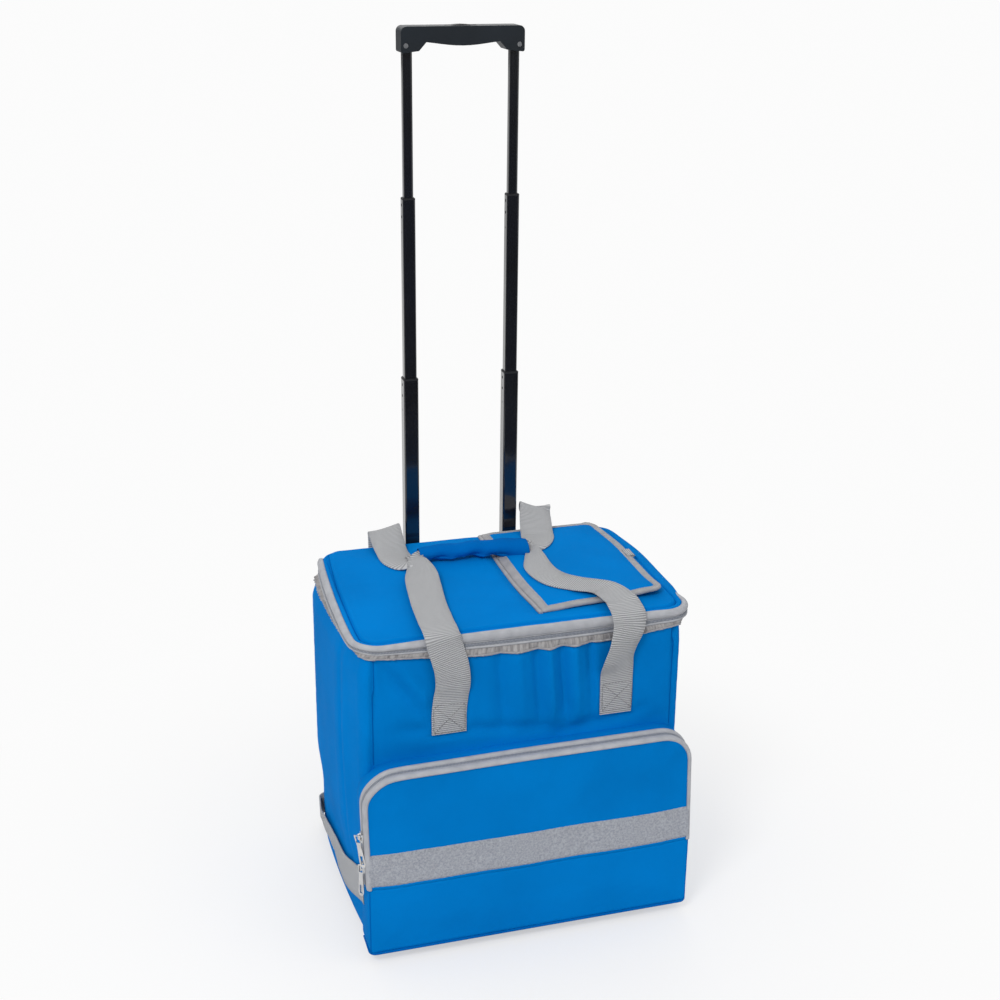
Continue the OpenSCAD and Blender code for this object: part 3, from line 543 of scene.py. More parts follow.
def pocket_line(inset, count, low=None):
    """Open outline of the pocket's face in X and Z, from its lower left corner over the top
    to its lower right, or from height low."""
    h, r = POCKET_HALF - inset, POCKET_R - inset
    top = POCKET_TOP - inset
    z0 = BOTTOM_Z + inset if low is None else low
    left = [(-h, z0)] + [(-h + r - r * cos(radians(a)),
                          top - r + r * sin(radians(a))) for a in range(0, 91, 10)]
    line = left + [(-x, z) for x, z in reversed(left)]
    return resample(line, count, closed=False)


def outward(p, closed=True):
    """Unit normals to the right of a 2D line's direction."""
    if closed:
        t = np.roll(p, -1, 0) - np.roll(p, 1, 0)
    else:
        t = np.gradient(p, axis=0)
    t /= np.linalg.norm(t, axis=1)[:, None]
    return np.stack([t[:, 1], -t[:, 0]], 1)


LOW_Z = RIM_Z - 14.2


def pressed(x, y):
    """How tall the bands under the lid's edge stand, and how far that edge sags."""
    left = hypot(x + 175, y + 115)
    right = hypot(x - 175, y + 115)
    press = 0.9 - 0.5 * bell(left, 0, 85) - 0.27 * bell(right, 0, 55)
    return lerp(press, 1.0, rise(y, 10, 90)), 3.2 * bell(left, 0, 70)


def spread(x, y):
    """How far the lid's right side stands out past its CAD outline."""
    return (3.0 + 4.0 * bell(y, 50, 60)) * rise(x, 145, 35) * fall(y, 132, 30)


def bare(x, y):
    """Where the lid's right side hangs over its rolled edge."""
    return rise(x, 150, 22) * rise(y, -105, 50) * fall(y, 150, 10)


def settle(x, y, z):
    """Height that a point of the CAD outline near the rim has in the soft bag."""
    press, dip = pressed(x, y)
    if z > LID_Z:
        return z - dip
    if z >= LOW_Z:
        return LID_Z - dip - (LID_Z - z) * press
    lift = LID_Z - dip - (LID_Z - LOW_Z) * press - LOW_Z
    return z + lift * smooth((z - 250) / (LOW_Z - 250))


# ---------------------------------------------------------------- bag body

def body_bulge(x, y, z, nx, ny):
    """How far the cloth stands outside the CAD outline at one point of the body."""
    up = (z - BOTTOM_Z) / (RIM_Z - BOTTOM_Z)
    inner = sin(pi * min(max(up, 0), 1)) ** 0.5
    d = 0.0
    if ny < -0.7:
        seam = lerp(171, 165, up)
        near = min(abs(x - seam), abs(x + seam))
        d += 1.6 * (1 - (x / 165) ** 2) * inner
        # soft upright folds between the straps, which fade out above the pocket
        top = rise(z, 226, 50) * fall(z, 346, 12)
        for mid, width, size in ((-44, 9, 1.0), (-28, 6, -2.4), (-8, 8, 3.0), (12, 5, -3.0),
                                 (26, 6, 4.4), (41, 4.5, -3.6), (54, 7, 4.2), (72, 5, -3.0)):
            d += 1.25 * size * bell(x, mid + (300 - z) * 0.08, width) * top
        # slanting puckers beside the left strap, and a long one above the pocket
        d -= 3.6 * bell(x + 0.75 * z, 88, 6) * bell(z, 300, 26)
        d += 3.8 * bell(x + 0.75 * z, 106, 8) * bell(z, 296, 28)
        d -= 2.4 * bell(x + 0.5 * z, 0, 8) * bell(z, 306, 18)
        d -= 2.6 * bell(z + 0.11 * x, 243, 8) * rise(x, -160, 40) * fall(x, 60, 60)
        d -= 2.8 * bell(z - 0.16 * x, 226, 9) * rise(x, 20, 40) * fall(x, 150, 30)
        d += 0.9 * rough_at(x, 0, z * 0.45, 34, 1)
        # flat where the straps are sewn on
        sewn = max(smooth((26 - abs(x + 86)) / 8), smooth((26 - abs(x - 103)) / 8))
        sewn *= rise(z, 240, 8) * fall(z, 300, 16)
        d = lerp(max(d + 1.4, -1.6), 1.0, sewn) * smooth(near / 12)
    elif abs(nx) > 0.7:
        crease = -54 if nx < 0 else -40
        near = min(abs(y - FRONT_Y - 10), abs(BACK_Y - 10 - y))
        d += 1.0 * rough_at(0, y, z * 0.4, 40, 2)
        d -= 4.4 * bell(y, crease + 0.03 * (z - 200), 5) * inner
        d += 3.0 * bell(y, crease - 20 + 0.03 * (z - 200), 10) * inner
        d += 1.6 * bell(y, crease + 20, 12) * inner
        d = max(d, -1.6) * smooth(near / 14) * (0.35 + 0.65 * rise(z, 70, 60))
        d += (1.2 + 2.2 * rise(z, 120, 120)) * inner * smooth(near / 40)
    else:
        d += 0.5 * rough_at(x, y, z * 0.5, 36, 3)
    return d + 0.2 * rough_at(x, y, z, 8, 4)


def shell_offset(x, y, z, nx, ny):
    """body_bulge with its fade at the bottom seam and under the zip."""
    fade = rise(z, BOTTOM_Z, 14) * (0.25 + 0.75 * fall(z, RIM_Z - 2, 22))
    wide = 5.6 * smooth(-nx * 2) * rise(z, 62, 66) + 1.8 * smooth(nx * 2) * rise(z, 90, 110)
    wide *= fall(z, LOW_Z + 3, 26)
    wide += 3.8 * smooth(-nx * 2) * fall(z, 66, 36) * fall(y, 124, 60)
    return body_bulge(x, y, z, nx, ny) * fade + wide


def seam_depth(x, z, ny):
    """Depth of the valley at the two front corner seams and the two back ones."""
    up = (z - BOTTOM_Z) / (RIM_Z - BOTTOM_Z)
    if ny < -0.2:
        return 2.6 * bell(abs(x), lerp(171, 164.5, up), 1.5)
    if ny > 0.2:
        return 1.8 * bell(abs(x), 167, 1.2)
    return 0.0


def make_body():
    count, levels = 640, 130
    rows = []
    # painted shade: thin dark cloth cords laid in the valleys of the two front corner seams
    seams = {"front_seam_left": [], "front_seam_right": []}
    for j in range(levels + 1):
        z = BOTTOM_Z + (RIM_Z - BOTTOM_Z) * (j / levels) ** 1.12
        low = max(0.0, 5.0 - (z - BOTTOM_Z))
        inset = 5.0 - sqrt(max(25 - low * low, 0))
        flare = rise(z, 329, 15)
        ring = rim_ring(1 - flare, inset + 3.2 * flare, count)
        normal = outward(ring)
        row = []
        for (x, y), (nx, ny) in zip(ring, normal):
            d = shell_offset(x, y, z, nx, ny) - seam_depth(x, z, ny)
            row.append((x + nx * d, y + ny * d, settle(x, y, z)))
        rows.append(row)
        along = lerp(171, 164.5, (z - BOTTOM_Z) / (RIM_Z - BOTTOM_Z))
        for name, side in (("front_seam_left", -1), ("front_seam_right", 1)):
            near = min((p for p, (nx, ny) in zip(row, normal) if ny < -0.2),
                       key=lambda p: abs(p[0] - side * along))
            if POCKET_TOP - 6 < z < LOW_Z + 4:
                seams[name].append((near[0], near[1] - 0.25, near[2]))
    for name, line in seams.items():
        line = resample(line, 60, closed=False)
        line[1:-1, 0] = (line[:-2, 0] + line[2:, 0]) / 2
        dress(cordlike(name, line, 0.55, up=(0, 1, 0)), "dark_cloth", ROOT)
    shell = piece("bag_shell", rows, closed=True,
                  skip=lambda x, y, z: y > BACK_Y - 5 and abs(x) < 151 and z < 73)
    dress(thicken(shell, 1.2), "blue_cloth", ROOT, replaced=[
        "front_panel", "back_panel", "side_panel_left", "side_panel_right"])


def make_bottom():
    """The bottom sags a little between its seams."""
    rows = []
    for s in np.linspace(0, 1, 41):
        rows.append([(x - 3.8 * fall(x, -160, 12) * fall(y, 124, 60), y,
                      BOTTOM_Z - 0.9 * smooth(s * 3) + 0.3 * rough_at(x, y, 0, 30, 5))
                     for x, y in toward(body_ring(5, 240), np.array([0, 6.6]), s)])
    bottom = piece("bag_bottom", rows, closed=True,
                   skip=lambda x, y, z: y > 78.5 and abs(x) < 151.5)
    dress(thicken(bottom, 1.2, 1), "dark_cloth", ROOT, replaced=["bottom_panel"])


def make_lining():
    """Foam and film of the bag's inside as one soft form, welded from the CAD solids."""
    verts, faces = [], []
    for n in ("foam_boards", "inner_liner"):
        data = nodes[n].data
        base = len(verts)
        verts += [tuple(v.co) for v in data.vertices]
        faces += [tuple(base + i for i in f.vertices) for f in data.polygons]
    joined = bpy.data.meshes.new("insulated_lining")
    joined.from_pydata(verts, [], faces)
    o = smooth_object("insulated_lining", joined)
    remesh = o.modifiers.new("remesh", "REMESH")
    remesh.mode, remesh.voxel_size = "VOXEL", 0.003
    relax = o.modifiers.new("relax", "SMOOTH")
    relax.factor, relax.iterations = 0.5, 6
    mesh = bpy.data.meshes.new_from_object(o.evaluated_get(bpy.context.evaluated_depsgraph_get()))
    o.modifiers.clear()
    o.data = mesh
    # the cloth presses the foam in where it faces the shell
    for v in mesh.vertices:
        for k, (low, high) in enumerate(((-0.1775, 0.1775), (FRONT_Y * 0.001, BACK_Y * 0.001))):
            near = max(low + 0.0065 - v.co[k], 0) - max(v.co[k] - high + 0.0065, 0)
            v.co[k] += 0.5 * near
        rim = rise(v.co.z * 1000, 322, 14)
        over = 6.2 - lid_inset(v.co.x * 1000, v.co.y * 1000)
        if rim > 0 and over > 0 and v.co.y > 0:
            flat = Vector((-v.co.x, -v.co.y * 0.7, 0)).normalized()
            v.co += flat * over * rim * 0.0013
    mesh.polygons.foreach_set("use_smooth", [True] * len(mesh.polygons))
    dress(o, "liner", ROOT, replaced=["foam_boards", "inner_liner"])


# ---------------------------------------------------------------- zip, bands

def front_band(name, base, profile, y_end, mm, material, body, replaced=(),
               offset=-1, wobble=None):
    """Band along both sides and the front. profile is a list of (t, outset, height over
    base), where t goes from the lid's outline at 0 to the bag's at 1."""
    count = 900
    first = rim_ring(profile[0][0], 0, count)
    keep = [i for i in range(count) if first[i][1] < y_end]
    order = [i for i in keep if i >= count / 2] + [i for i in keep if i < count / 2]
    rows = []
    for t, outset, height in profile:
        ring, z = rim_ring(t, -outset, count), base + height
        normal = outward(ring)
        row = []
        for i in order:
            (x, y), (nx, ny) = ring[i], normal[i]
            d, dz = wobble(x, y, z, t, nx, ny) if wobble else (0, 0)
            d += spread(x, y) * (1 - t)
            row.append((x + nx * d, y + ny * d, settle(x, y, z) + dz))
        rows.append(row)
    dress(thicken(banded(name, rows), mm, offset), material, body, replaced)


def banded(name, rows):
    """piece() whose UV runs across the band in U and along it in V."""
    p = np.array(rows)
    return piece(name, rows, uv=(distances(p[0]), distances(p[:, 0])), turned=True)


def gather(x, y, z, t, nx, ny):
    """Uneven pleats of the gathered band, deepest at its scalloped lower edge."""
    s = x - 1.1 * y * (1 if x > 0 else -1)
    deep = rise(t, 0.05, 0.5)
    pace = s / 2.6 + 3.2 * rough_at(x, y, 0, 30, 6)
    size = 0.35 + 1.3 * abs(rough_at(x, y, 0, 19, 7)) + (0.7 if abs(nx) > 0.6 else 0.0)
    pleat = (1 - 2 * abs(sin(pace)) ** 0.8) * size
    lean = shell_offset(x, y, z, nx, ny) * (1 - 0.6 * abs(nx))
    return 1.15 * pleat * deep + lean * t, deep * (0.35 * pleat + 0.4 * rough_at(x, y, 0, 15, 8))


def make_main_zip():
    front_band("main_zip_coil", RIM_Z,
               [(0, -0.6, -0.1), (0, 1.0, 0), (0, 1.5, -0.5), (0, 1.3, -1.2), (0, 0.2, -1.5)],
               ZIP_END, 0.5, "zip_coil", ROOT)
    front_band("main_zip_lower_tape", RIM_Z,
               [(0, -0.6, -1.3), (0, -0.4, -2.0), (0.0, 1.2, -2.4), (0.02, 1.6, -3.4),
                (0.03, 1.0, -4.4), (0.04, -0.4, -4.8)], ZIP_END, 0.7, "zip_tape", ROOT)
    front_band("gathered_band", RIM_Z,
               [(0.03, -0.6, -4.2), (0.08, 0.3, -4.9), (0.3, 1.4, -6.6), (0.55, 2.0, -8.8),
                (0.8, 2.3, -11), (0.95, 2.2, -12.8), (1.0, 2.1, -14.2)], ZIP_END, 0.7,
               "pleated", ROOT, ["rim_band"], offset=0, wobble=gather)
    front_band("gathered_band_edge", RIM_Z,
               [(0.97, 2.4, -13.0), (0.98, 3.1, -13.3), (1.0, 3.2, -14.2), (1.0, 2.6, -14.9),
                (1.0, 1.4, -14.8)], ZIP_END, 0.4, "gathered", ROOT, wobble=gather)


# ---------------------------------------------------------------- lid

def lid_inset(x, y):
    """Rough distance of a point on the lid from its edge."""
    s = (y - LID_FRONT_Y) / (BACK_Y - LID_FRONT_Y)
    side = lerp(LID_FRONT, LID_BACK, s) + 12 * s * (1 - s) - abs(x)
    ends = min(y - LID_FRONT_Y, BACK_Y - y)
    r = LID_R
    slack = 3.1 * float(corner_slack(x, y))
    if side < r and ends < r:
        return r - hypot(r - side, r - ends) - slack
    return min(side, ends) - slack


def lid_height(x, y):
    """Top of the lid's cloth: a strip at the edge, a sunk seam, then a low crown that is
    drawn down where the hatch flap is sewn on."""
    i = max(lid_inset(x, y), 0)
    crown = 4.2 * smooth(i / 70) * (0.75 + 0.25 * rise(y, -60, 90))
    crown += 0.5 * rough_at(x, y, 0, 48, 9) * rise(i, 14, 20)
    crown += 1.1 * rise(i, 11.6, 2.6) - 0.5
    crown *= 1 - 0.92 * bell(x, 18, 8) * rise(y, -100, 12) * fall(y, 138, 12)
    crown += 3.2 * rise(y, 10, 105) * rise(i, 1, 14)
    groove = -2.6 * bell(i, 10.8, 1.0) + 0.7 * bell(i, 13.4, 1.4)
    return (settle(x, y, LID_Z + crown) + 0.6 * rise(i, 4, 3) + groove
            + 0.12 * rough_at(x, y, 0, 9, 10))


def make_lid():
    count = 420
    last, centre = lid_ring(30, count), np.array(LID_CENTRE)

    def edge_row(inset, height):
        return [(x + spread(x, y) + 4.2 * bare(x, y) * fall(inset, 9, 5), y, height(x, y))
                for x, y in lid_ring(inset, count)]

    rows = [edge_row(inset, lambda x, y: settle(x, y, LID_Z - drop))
            for inset, drop in ((9, 11.6), (4.2, 11.6), (3.0, 10.4), (3.0, 4), (3.2, 1.4))]
    rows.append(edge_row(4.2, lambda x, y: lid_height(x, y) - 1.0))
    rows += [edge_row(inset, lid_height)
             for inset in (5.5, 7, 8.4, 9.4, 10.1, 10.8, 11.5, 12.2, 13.2, 14.5, 17, 20, 25, 30)]
    for k in range(1, 81):
        rows.append([(x + spread(x, y) * (1 - smooth(k / 8)), y, lid_height(x, y))
                     for x, y in toward(last, centre, k / 80.5)])
    lid = piece("lid_cover", rows, closed=True,
                skip=lambda x, y, z: z > LID_Z - 2 and in_hatch_hole(x, y))
    cap_ring(lid, count)
    dress(lid, "blue_cloth", "lid", replaced=["lid_panel", "lid_piping"])
    # painted shade: a thin dark cloth cord laid along the bottom of the lid's sunk seam
    line = [(x + spread(x, y), y, lid_height(x, y) + 0.35) for x, y in lid_ring(10.8, 500)]
    dress(cordlike("lid_seam", line + line[:2], 0.45), "dark_cloth", "lid")


def make_lid_inside():
    """The turned-in cloth round the hatch's hole, and the film underneath."""
    count = 420
    last, centre = lid_ring(30, count), np.array(LID_CENTRE)
    hole = resample(hole_outline(0), 160)
    wall = [[(x, y, lid_height(x, y) - 0.2) for x, y in hole],
            [(x, y, LID_Z - 6) for x, y in resample(hole_outline(-0.8), 160)],
            [(x, y, LID_Z - 11.9) for x, y in hole]]
    cloth("lid_hole_binding", wall, "blue_cloth", "lid", mm=0.8, closed=True)
    rows = [[(x, y, settle(x, y, LID_Z - 12) + 0.25 * rough_at(x, y, 0, 20, 11) - 0.9 * smooth(k / 6))
             for x, y in lid_ring(6 + k * 3, count)] for k in range(9)]
    for k in range(1, 31):
        rows.append([(x, y, settle(x, y, LID_Z - 12) - 0.9 + 0.4 * rough_at(x, y, 0, 26, 11))
                     for x, y in toward(last, centre, k / 30.5)])
    film = piece("lid_film", rows, closed=True, skip=lambda x, y, z: in_hatch_hole(x, y))
    cap_ring(film, count)
    dress(thicken(film, 0.5, 0), "liner", "lid", replaced=["lid_lining"])


def hang(x, y, z, t, nx, ny):
    """The lid's rolled edge is a little uneven, and draws in where it lies bare."""
    return (0.3 * rough_at(x, y, z * 2, 15, 50) - 3.0 * bare(x, y),
            0.2 * rough_at(x, y, z, 24, 51) - 2.6 * bare(x, y))


def make_lid_bands():
    front_band("lid_zip_coil", LID_Z,
               [(0, 0.2, -11.7), (0, 1.3, -12), (0, 1.5, -12.6), (0, 1.0, -13.1), (0, -0.6, -13.0)],
               BACK_Y - 22, 0.5, "zip_coil", "lid")
    front_band("lid_zip_tape", LID_Z,
               [(0, -1.2, -12.2), (0, 0.1, -11.9), (0, 0.2, -11.3), (0, 0.9, -10.9),
                (0, 1.0, -10.2), (0, 0.3, -9.7), (0, -1.0, -9.4)],
               BACK_Y - 22, 0.7, "zip_tape", "lid", replaced=["lid_band"])
    front_band("lid_edge_binding", LID_Z,
               [(0, -1.6, -9.9), (0, 0.6, -9.7), (0, 1.7, -8.4), (0, 2.3, -5.6), (0, 2.1, -2.8),
                (0, 1.2, -0.6), (0, -0.4, 0.8), (0, -2.2, 1.2), (0, -3.8, 0.9), (0, -4.8, -0.2)],
               BACK_Y - 18, 0.8, "zip_tape", "lid", wobble=hang)


def make_lid_hinge():
    """Strip of cloth at the back that the lid turns on, sewn to the back panel and the lid."""
    rows = []
    for y, height in ((-1.0, -20), (-0.7, -12), (-0.6, -6), (-0.9, -3), (-1.3, -1), (-1.5, 0.6),
                      (-1.4, 2.2), (-1.1, 4), (-1.3, 6.5), (-2.2, 8.5)):
        z = RIM_Z + height
        rows.append([(x, BACK_Y + y + 0.15 * rough_at(x, 0, z, 20, 60), z)
                     for x in np.linspace(-149, 149, 90)])
    strip = thicken(piece("lid_hinge_cloth", rows), 0.9, 0)
    strip.data.materials.append(mats["blue_cloth"])
    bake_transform(strip)


def cap_ring(o, count):
    """Closes a round of rings with one face over its last ring."""
    bm = bmesh.new()
    bm.from_mesh(o.data)
    bm.faces.new(list(bm.verts)[-count:]).smooth = True
    bm.to_mesh(o.data)
    bm.free()


def hole_outline(grow):
    x0, x1, y0, y1 = HOLE
    x0, x1, y0, y1, r = x0 - grow, x1 + grow, y0 - grow, y1 + grow, 12
    return (arc(x1 - r, y0 + r, r, -90, 6) + arc(x1 - r, y1 - r, r, 0, 6)
            + arc(x0 + r, y1 - r, r, 90, 6) + arc(x0 + r, y0 + r, r, 180, 6))


def in_hatch_hole(x, y):
    return HOLE[0] < x < HOLE[1] and HOLE[2] < y < HOLE[3]


# ---------------------------------------------------------------- hatch flap

HX0, HX1, HY0, HY1 = 20.3, 168.0, -86.0, 124.0
SEAM_X = 16.0


def flap_outline(inset, count):
    """Rounded outline of the flap: square at its hinge, round at its free corners."""
    i = inset
    large = max(17 - i, 1)
    p = (arc(HX1 - i - large, HY0 + i + large, large, -90, 8)
         + arc(HX1 - i - large, HY1 - i - large, large, 0, 8)
         + arc(HX0 + i + 0.4, HY1 - i - 0.4, 0.4, 90, 3)
         + arc(HX0 + i + 0.4, HY0 + i + 0.4, 0.4, 180, 3))
    return resample([((HX0 + HX1) / 2, HY0 + i)] + p, count)


def skew(x, y):
    """The flap lies a little askew: pulled forward on its left, narrower at the back."""
    s = min(max((x - HX0) / (HX1 - HX0), 0), 1)
    front = fall(y, 20, 106)
    return (x + 5.0 * front ** 2 * (1 - s) - 8.0 * rise(y, 30, 94) * s,
            y - 11.0 * (1 - 0.8 * s) * front)


def flap_line(inset, count):
    return [skew(x, y) for x, y in flap_outline(inset, count)]


def flap_base(x, y):
    """Underside of the flap: it lies on the lid, its front edge and right side stand off a
    little, and its front right corner curls up."""
    lift = 3.6 * smooth(1 - hypot((x - 166) / 70, (y + 88) / 50)) ** 1.1
    lift += 1.6 * fall(y, -70, 20) * rise(x, 34, 40)
    lift += 1.0 * rise(x, 120, 48) * fall(y, 110, 60)
    lift += 0.8 * sin((y + 86) / 210 * pi) * rise(x, 40, 90)
    return lid_height(x, y) + 0.6 + lift


def flap_thick(x):
    """Share of its full thickness that the flap has near its sewn edge."""
    return lerp(0.62, 1.0, rise(x, HX0, 15))


def make_hatch():
    count = 400
    first, last = (np.array(flap_line(inset, count)) for inset in (3, 26))
    centre = np.array([94.0, 19.0])
    rows = [[(x, y, flap_base(x, y)) for x, y in toward(first, centre, k / 24.5)]
            for k in range(24, 0, -1)]
    for inset, up in ((3, 0.0), (0.8, 0.2), (0.2, 1.2), (0.6, 2.4), (2.4, 2.9), (5, 2.9),
                      (8, 2.8), (9.2, 2.9), (11, 3.6), (14, 4.2), (19, 4.7), (26, 4.9)):
        rows.append([(x, y, flap_base(x, y) + up * flap_thick(x)) for x, y in flap_line(inset, count)])
    for k in range(1, 41):
        rows.append([(x, y, flap_base(x, y) + 4.9 * flap_thick(x) + 0.4 * rough_at(x, y, 0, 30, 12))
                     for x, y in toward(last, centre, k / 40.5)])
    flap = piece("hatch_cover", rows, closed=True)
    cap_ring(flap, count)
    dress(flap, "blue_cloth", "hatch", replaced=["hatch_flap"])


def make_hatch_edges():
    """Binding round the flap, the sewn-down edge beside its fold, and its tab."""
    rows = []
    for inset, up in [(7.5, -0.5), (3, -0.5), (0.3, -0.3), (-0.2, 0.6), (-0.2, 2.0), (0.3, 3.2),
                      (1.8, 3.7), (4.5, 3.6), (7.4, 3.6), (8.4, 2.9)]:
        rows.append([(x, y, flap_base(x, y) + up * flap_thick(x) + 0.15 * rough_at(x, y, 0, 7, 13))
                     for x, y in flap_line(inset, 400)])
    dress(piece("hatch_edge_binding", rows, closed=True), "gathered", "hatch",
          ["hatch_binding"])
    line = [(x, y, flap_base(x, y) + 3.72 * flap_thick(x)) for x, y in flap_line(6.6, 300)]
    stitches("hatch_binding_stitches", [line], "hatch", 2.0, 1.0, 0.24)

    section = [(-0.5, 0.1), (-0.3, 1.6), (0.6, 2.4), (2.2, 2.7), (3.8, 2.4), (4.0, 0.1)]
    rows = []
    for k in np.linspace(HY0, HY1 - 1, 90):
        x, y = skew(HX0, k)
        x -= HX0 - SEAM_X
        rows.append([(x + u, y, lid_height(x + 2, y) + h + 0.12 * rough_at(u, y, 0, 8, 52))
                     for u, h in section])
    seam = piece("hatch_sewn_edge", rows, closed=True)
    cap_ends(seam, len(section))
    dress(seam, "gathered", "lid", replaced=["hatch_seam"])

    base = flap_base(HX1, 19)
    tab = [[(HX1 + u, y, base + h + 0.2 * sin(y * 0.5)) for y in np.linspace(12, 30, 12)]
           for u, h in ((-6, 3.8), (-3, 4.1), (0, 4.3), (2.4, 4.2), (3.4, 3.5), (2.6, 2.7),
                        (1, 2.4), (0, 2.3))]
    cloth("hatch_tab", tab, "webbing", "hatch", mm=0.9)


# ---------------------------------------------------------------- front pocket

def pocket_front_y(x, z):
    """Front face of the pocket, fuller in its middle, with slack folds."""
    edge = min(POCKET_HALF - abs(x), z - BOTTOM_Z, POCKET_TOP - z)
    full = 2.6 * smooth(edge / 42)
    slack = 1.0 * rough_at(x, 0, z * 0.7, 46, 14) * smooth(edge / 24)
    pucker = 1.1 * rough_at(x, 0, z * 0.2, 11, 15) * bell(z, POCKET_TOP - 9, 15)
    fold = 1.0 * bell(x - 0.5 * z, -35, 16) - 0.9 * bell(x - 0.4 * z, 62, 12)
    fold = fold * rise(z, 145, 30) * smooth(edge / 16)
    return POCKET_Y - full - slack - pucker - fold - 0.12 * rough_at(x, 0, z, 8, 16) + 1.2


def face_rows():
    """Folding front between its fold and the top, clipped to the round corners."""
    low, top, inset = FOLD_Z + 0.2, POCKET_TOP - 2.5, 2.2
    n, r = int((top - low) / 2.4), POCKET_R - inset
    rows = []
    for k in range(n + 1):
        z = lerp(low, top, k / n)
        h, over = POCKET_HALF - inset, z - (POCKET_TOP - inset - r)
        if over > 0:
            h -= r - sqrt(max(r * r - over * over, 0))
        rows.append([(x, pocket_front_y(x, z), z) for x in np.linspace(-h, h, 181)])
    return rows


def pocket_skin_rows():
    """Side, front and side of the pocket below its fold as one wrapped skin."""
    rows = []
    for k in range(37):
        z = lerp(BOTTOM_Z + 0.6, FOLD_Z, k / 36)
        tuck = 3.0 - sqrt(max(9 - max(3 - (z - BOTTOM_Z), 0) ** 2, 0))
        low = max(7.0 - (z - BOTTOM_Z), 0)
        h = POCKET_HALF - tuck - 7.0 + sqrt(49 - low * low)
        row = []
        for y in np.linspace(FRONT_Y + 12, POCKET_Y + 5, 20):
            mid = sin(pi * (y - POCKET_Y) / (FRONT_Y - POCKET_Y))
            row.append((-h - 1.0 * max(mid, 0) * rise(z, 16, 20)
                        + 7.0 * rise(y, FRONT_Y, 12), y, z))
        row += [(-h + 0.3, POCKET_Y + 2.6, z), (-h + 0.9, POCKET_Y + 1.7, z)]
        for x in np.linspace(-h + 1.6, h - 1.6, 170):
            row.append((x, pocket_front_y(x, z) + tuck, z))
        right = [(-x, y, z) for x, y, z in reversed(row[:22])]
        rows.append(row + right)
    return rows


def make_pocket():
    # side and top wall behind the zip, let into the bag's cloth by its first three rows
    rows = []
    for k in range(-3, 13):
        y = lerp(FRONT_Y, ZIP_Y + 6.4, k / 12) if k >= 0 else FRONT_Y - 3.6 * k
        line = pocket_line(0 if k >= 0 else (1.2, 4.0, 7.5)[-k - 1], 360, FOLD_Z - 2)
        mid = sin(pi * max(k, 0) / 12)
        row = []
        for (x, z), (nx, nz) in zip(line, -outward(line, closed=False)):
            d = 1.1 * mid + 0.5 * mid * rough_at(x, y, z, 26, 17)
            row.append((x + nx * d, y, z + nz * d))
        rows.append(row)
    cloth("pocket_side_wall", rows, "pocket_cloth", ROOT, "blue_cloth", ["pocket_gusset"])
    cloth("pocket_lower_skin", pocket_skin_rows(), "pocket_cloth", ROOT, "blue_cloth",
          ["pocket_lower_front"])
    rows = [[(x, y, BOTTOM_Z + 0.8 + 0.3 * rough_at(x, y, 0, 24, 53))
             for x in np.linspace(-POCKET_HALF + 3, POCKET_HALF - 3, 80)]
            for y in np.linspace(FRONT_Y + 4, POCKET_Y + 4, 12)]
    cloth("pocket_bottom", rows, "dark_cloth", ROOT)
    cloth("pocket_face", face_rows(), "pocket_cloth", "pocket_flap", "blue_cloth", ["pocket_flap"])


def zip_band(name, profile, body, material, replaced=(), raised=0.0):
    """profile is (distance behind the zip, outset), along the pocket's outline above the
    fold. raised lifts its top."""
    rows = [[(x, ZIP_Y + back, z + raised * max(outset, 0) * smooth((z - POCKET_TOP + 30) / 26))
             for x, z in pocket_line(-outset, 420, FOLD_Z + 0.5)] for back, outset in profile]
    dress(thicken(banded(name, rows), 0.7, 0), material, body, replaced)


def make_pocket_zip():
    zip_band("pocket_zip_rear_tape",
             [(9.2, 0.0), (8.6, 1.2), (7.2, 2.0), (5.2, 2.1), (3.6, 1.5), (3.0, 0.7), (2.4, 1.0),
              (1.7, 0.9)], ROOT, "zip_tape", ["pocket_rear_tape"], raised=0.9)
    zip_band("pocket_zip_rear_coil", [(1.8, 0.4), (1.6, 1.4), (0.9, 1.8), (0.2, 1.0)], ROOT, "zip_coil")
    zip_band("pocket_zip_front_coil", [(-0.2, 1.0), (-0.9, 1.8), (-1.6, 1.4), (-1.8, 0.4)],
             "pocket_flap", "zip_coil")
    zip_band("pocket_zip_front_tape",
             [(-1.7, 0.9), (-2.4, 1.0), (-3.0, 0.7), (-3.6, 1.5), (-5.2, 1.9), (-7.2, 1.6),
              (-8.7, 0.6), (-9.4, -0.6), (-9.4, -2.0), (-8.4, -2.9)],
             "pocket_flap", "zip_tape", ["pocket_front_tape"])


def make_loop_strip():
    """Napped strip that follows the folding front's face, with cut, rounded ends."""
    z0, z1 = FOLD_Z + 4, FOLD_Z + 43
    rows = []
    for k in range(25):
        z = lerp(z0, z1, k / 24)
        fray = 0.35 if k in (0, 24) else 0.0
        near = min(z - z0, z1 - z, 4) / 4
        half = POCKET_HALF - 0.4 - 3.5 * (1 - sqrt(near * (2 - near)))
        rows.append([(x, pocket_front_y(x, z) - 1.3 * smooth(k / 2) * fall(k, 24, 2) - 0.2,
                      z + fray * rough_at(x, 0, 0, 3, 18)) for x in np.linspace(-half, half, 240)])
    cloth("loop_strip", rows, "hook_loop", "pocket_flap", None, ["hook_loop_strip"], 0.9)
    edge = [[(x, pocket_front_y(x, z) - 1.75, z) for x in np.linspace(-178, 178, 120)]
            for z in (z0 + 2.2, z1 - 2.2)]
    stitches("loop_strip_stitches", edge, "pocket_flap", 2.2, 1.2, 0.22)


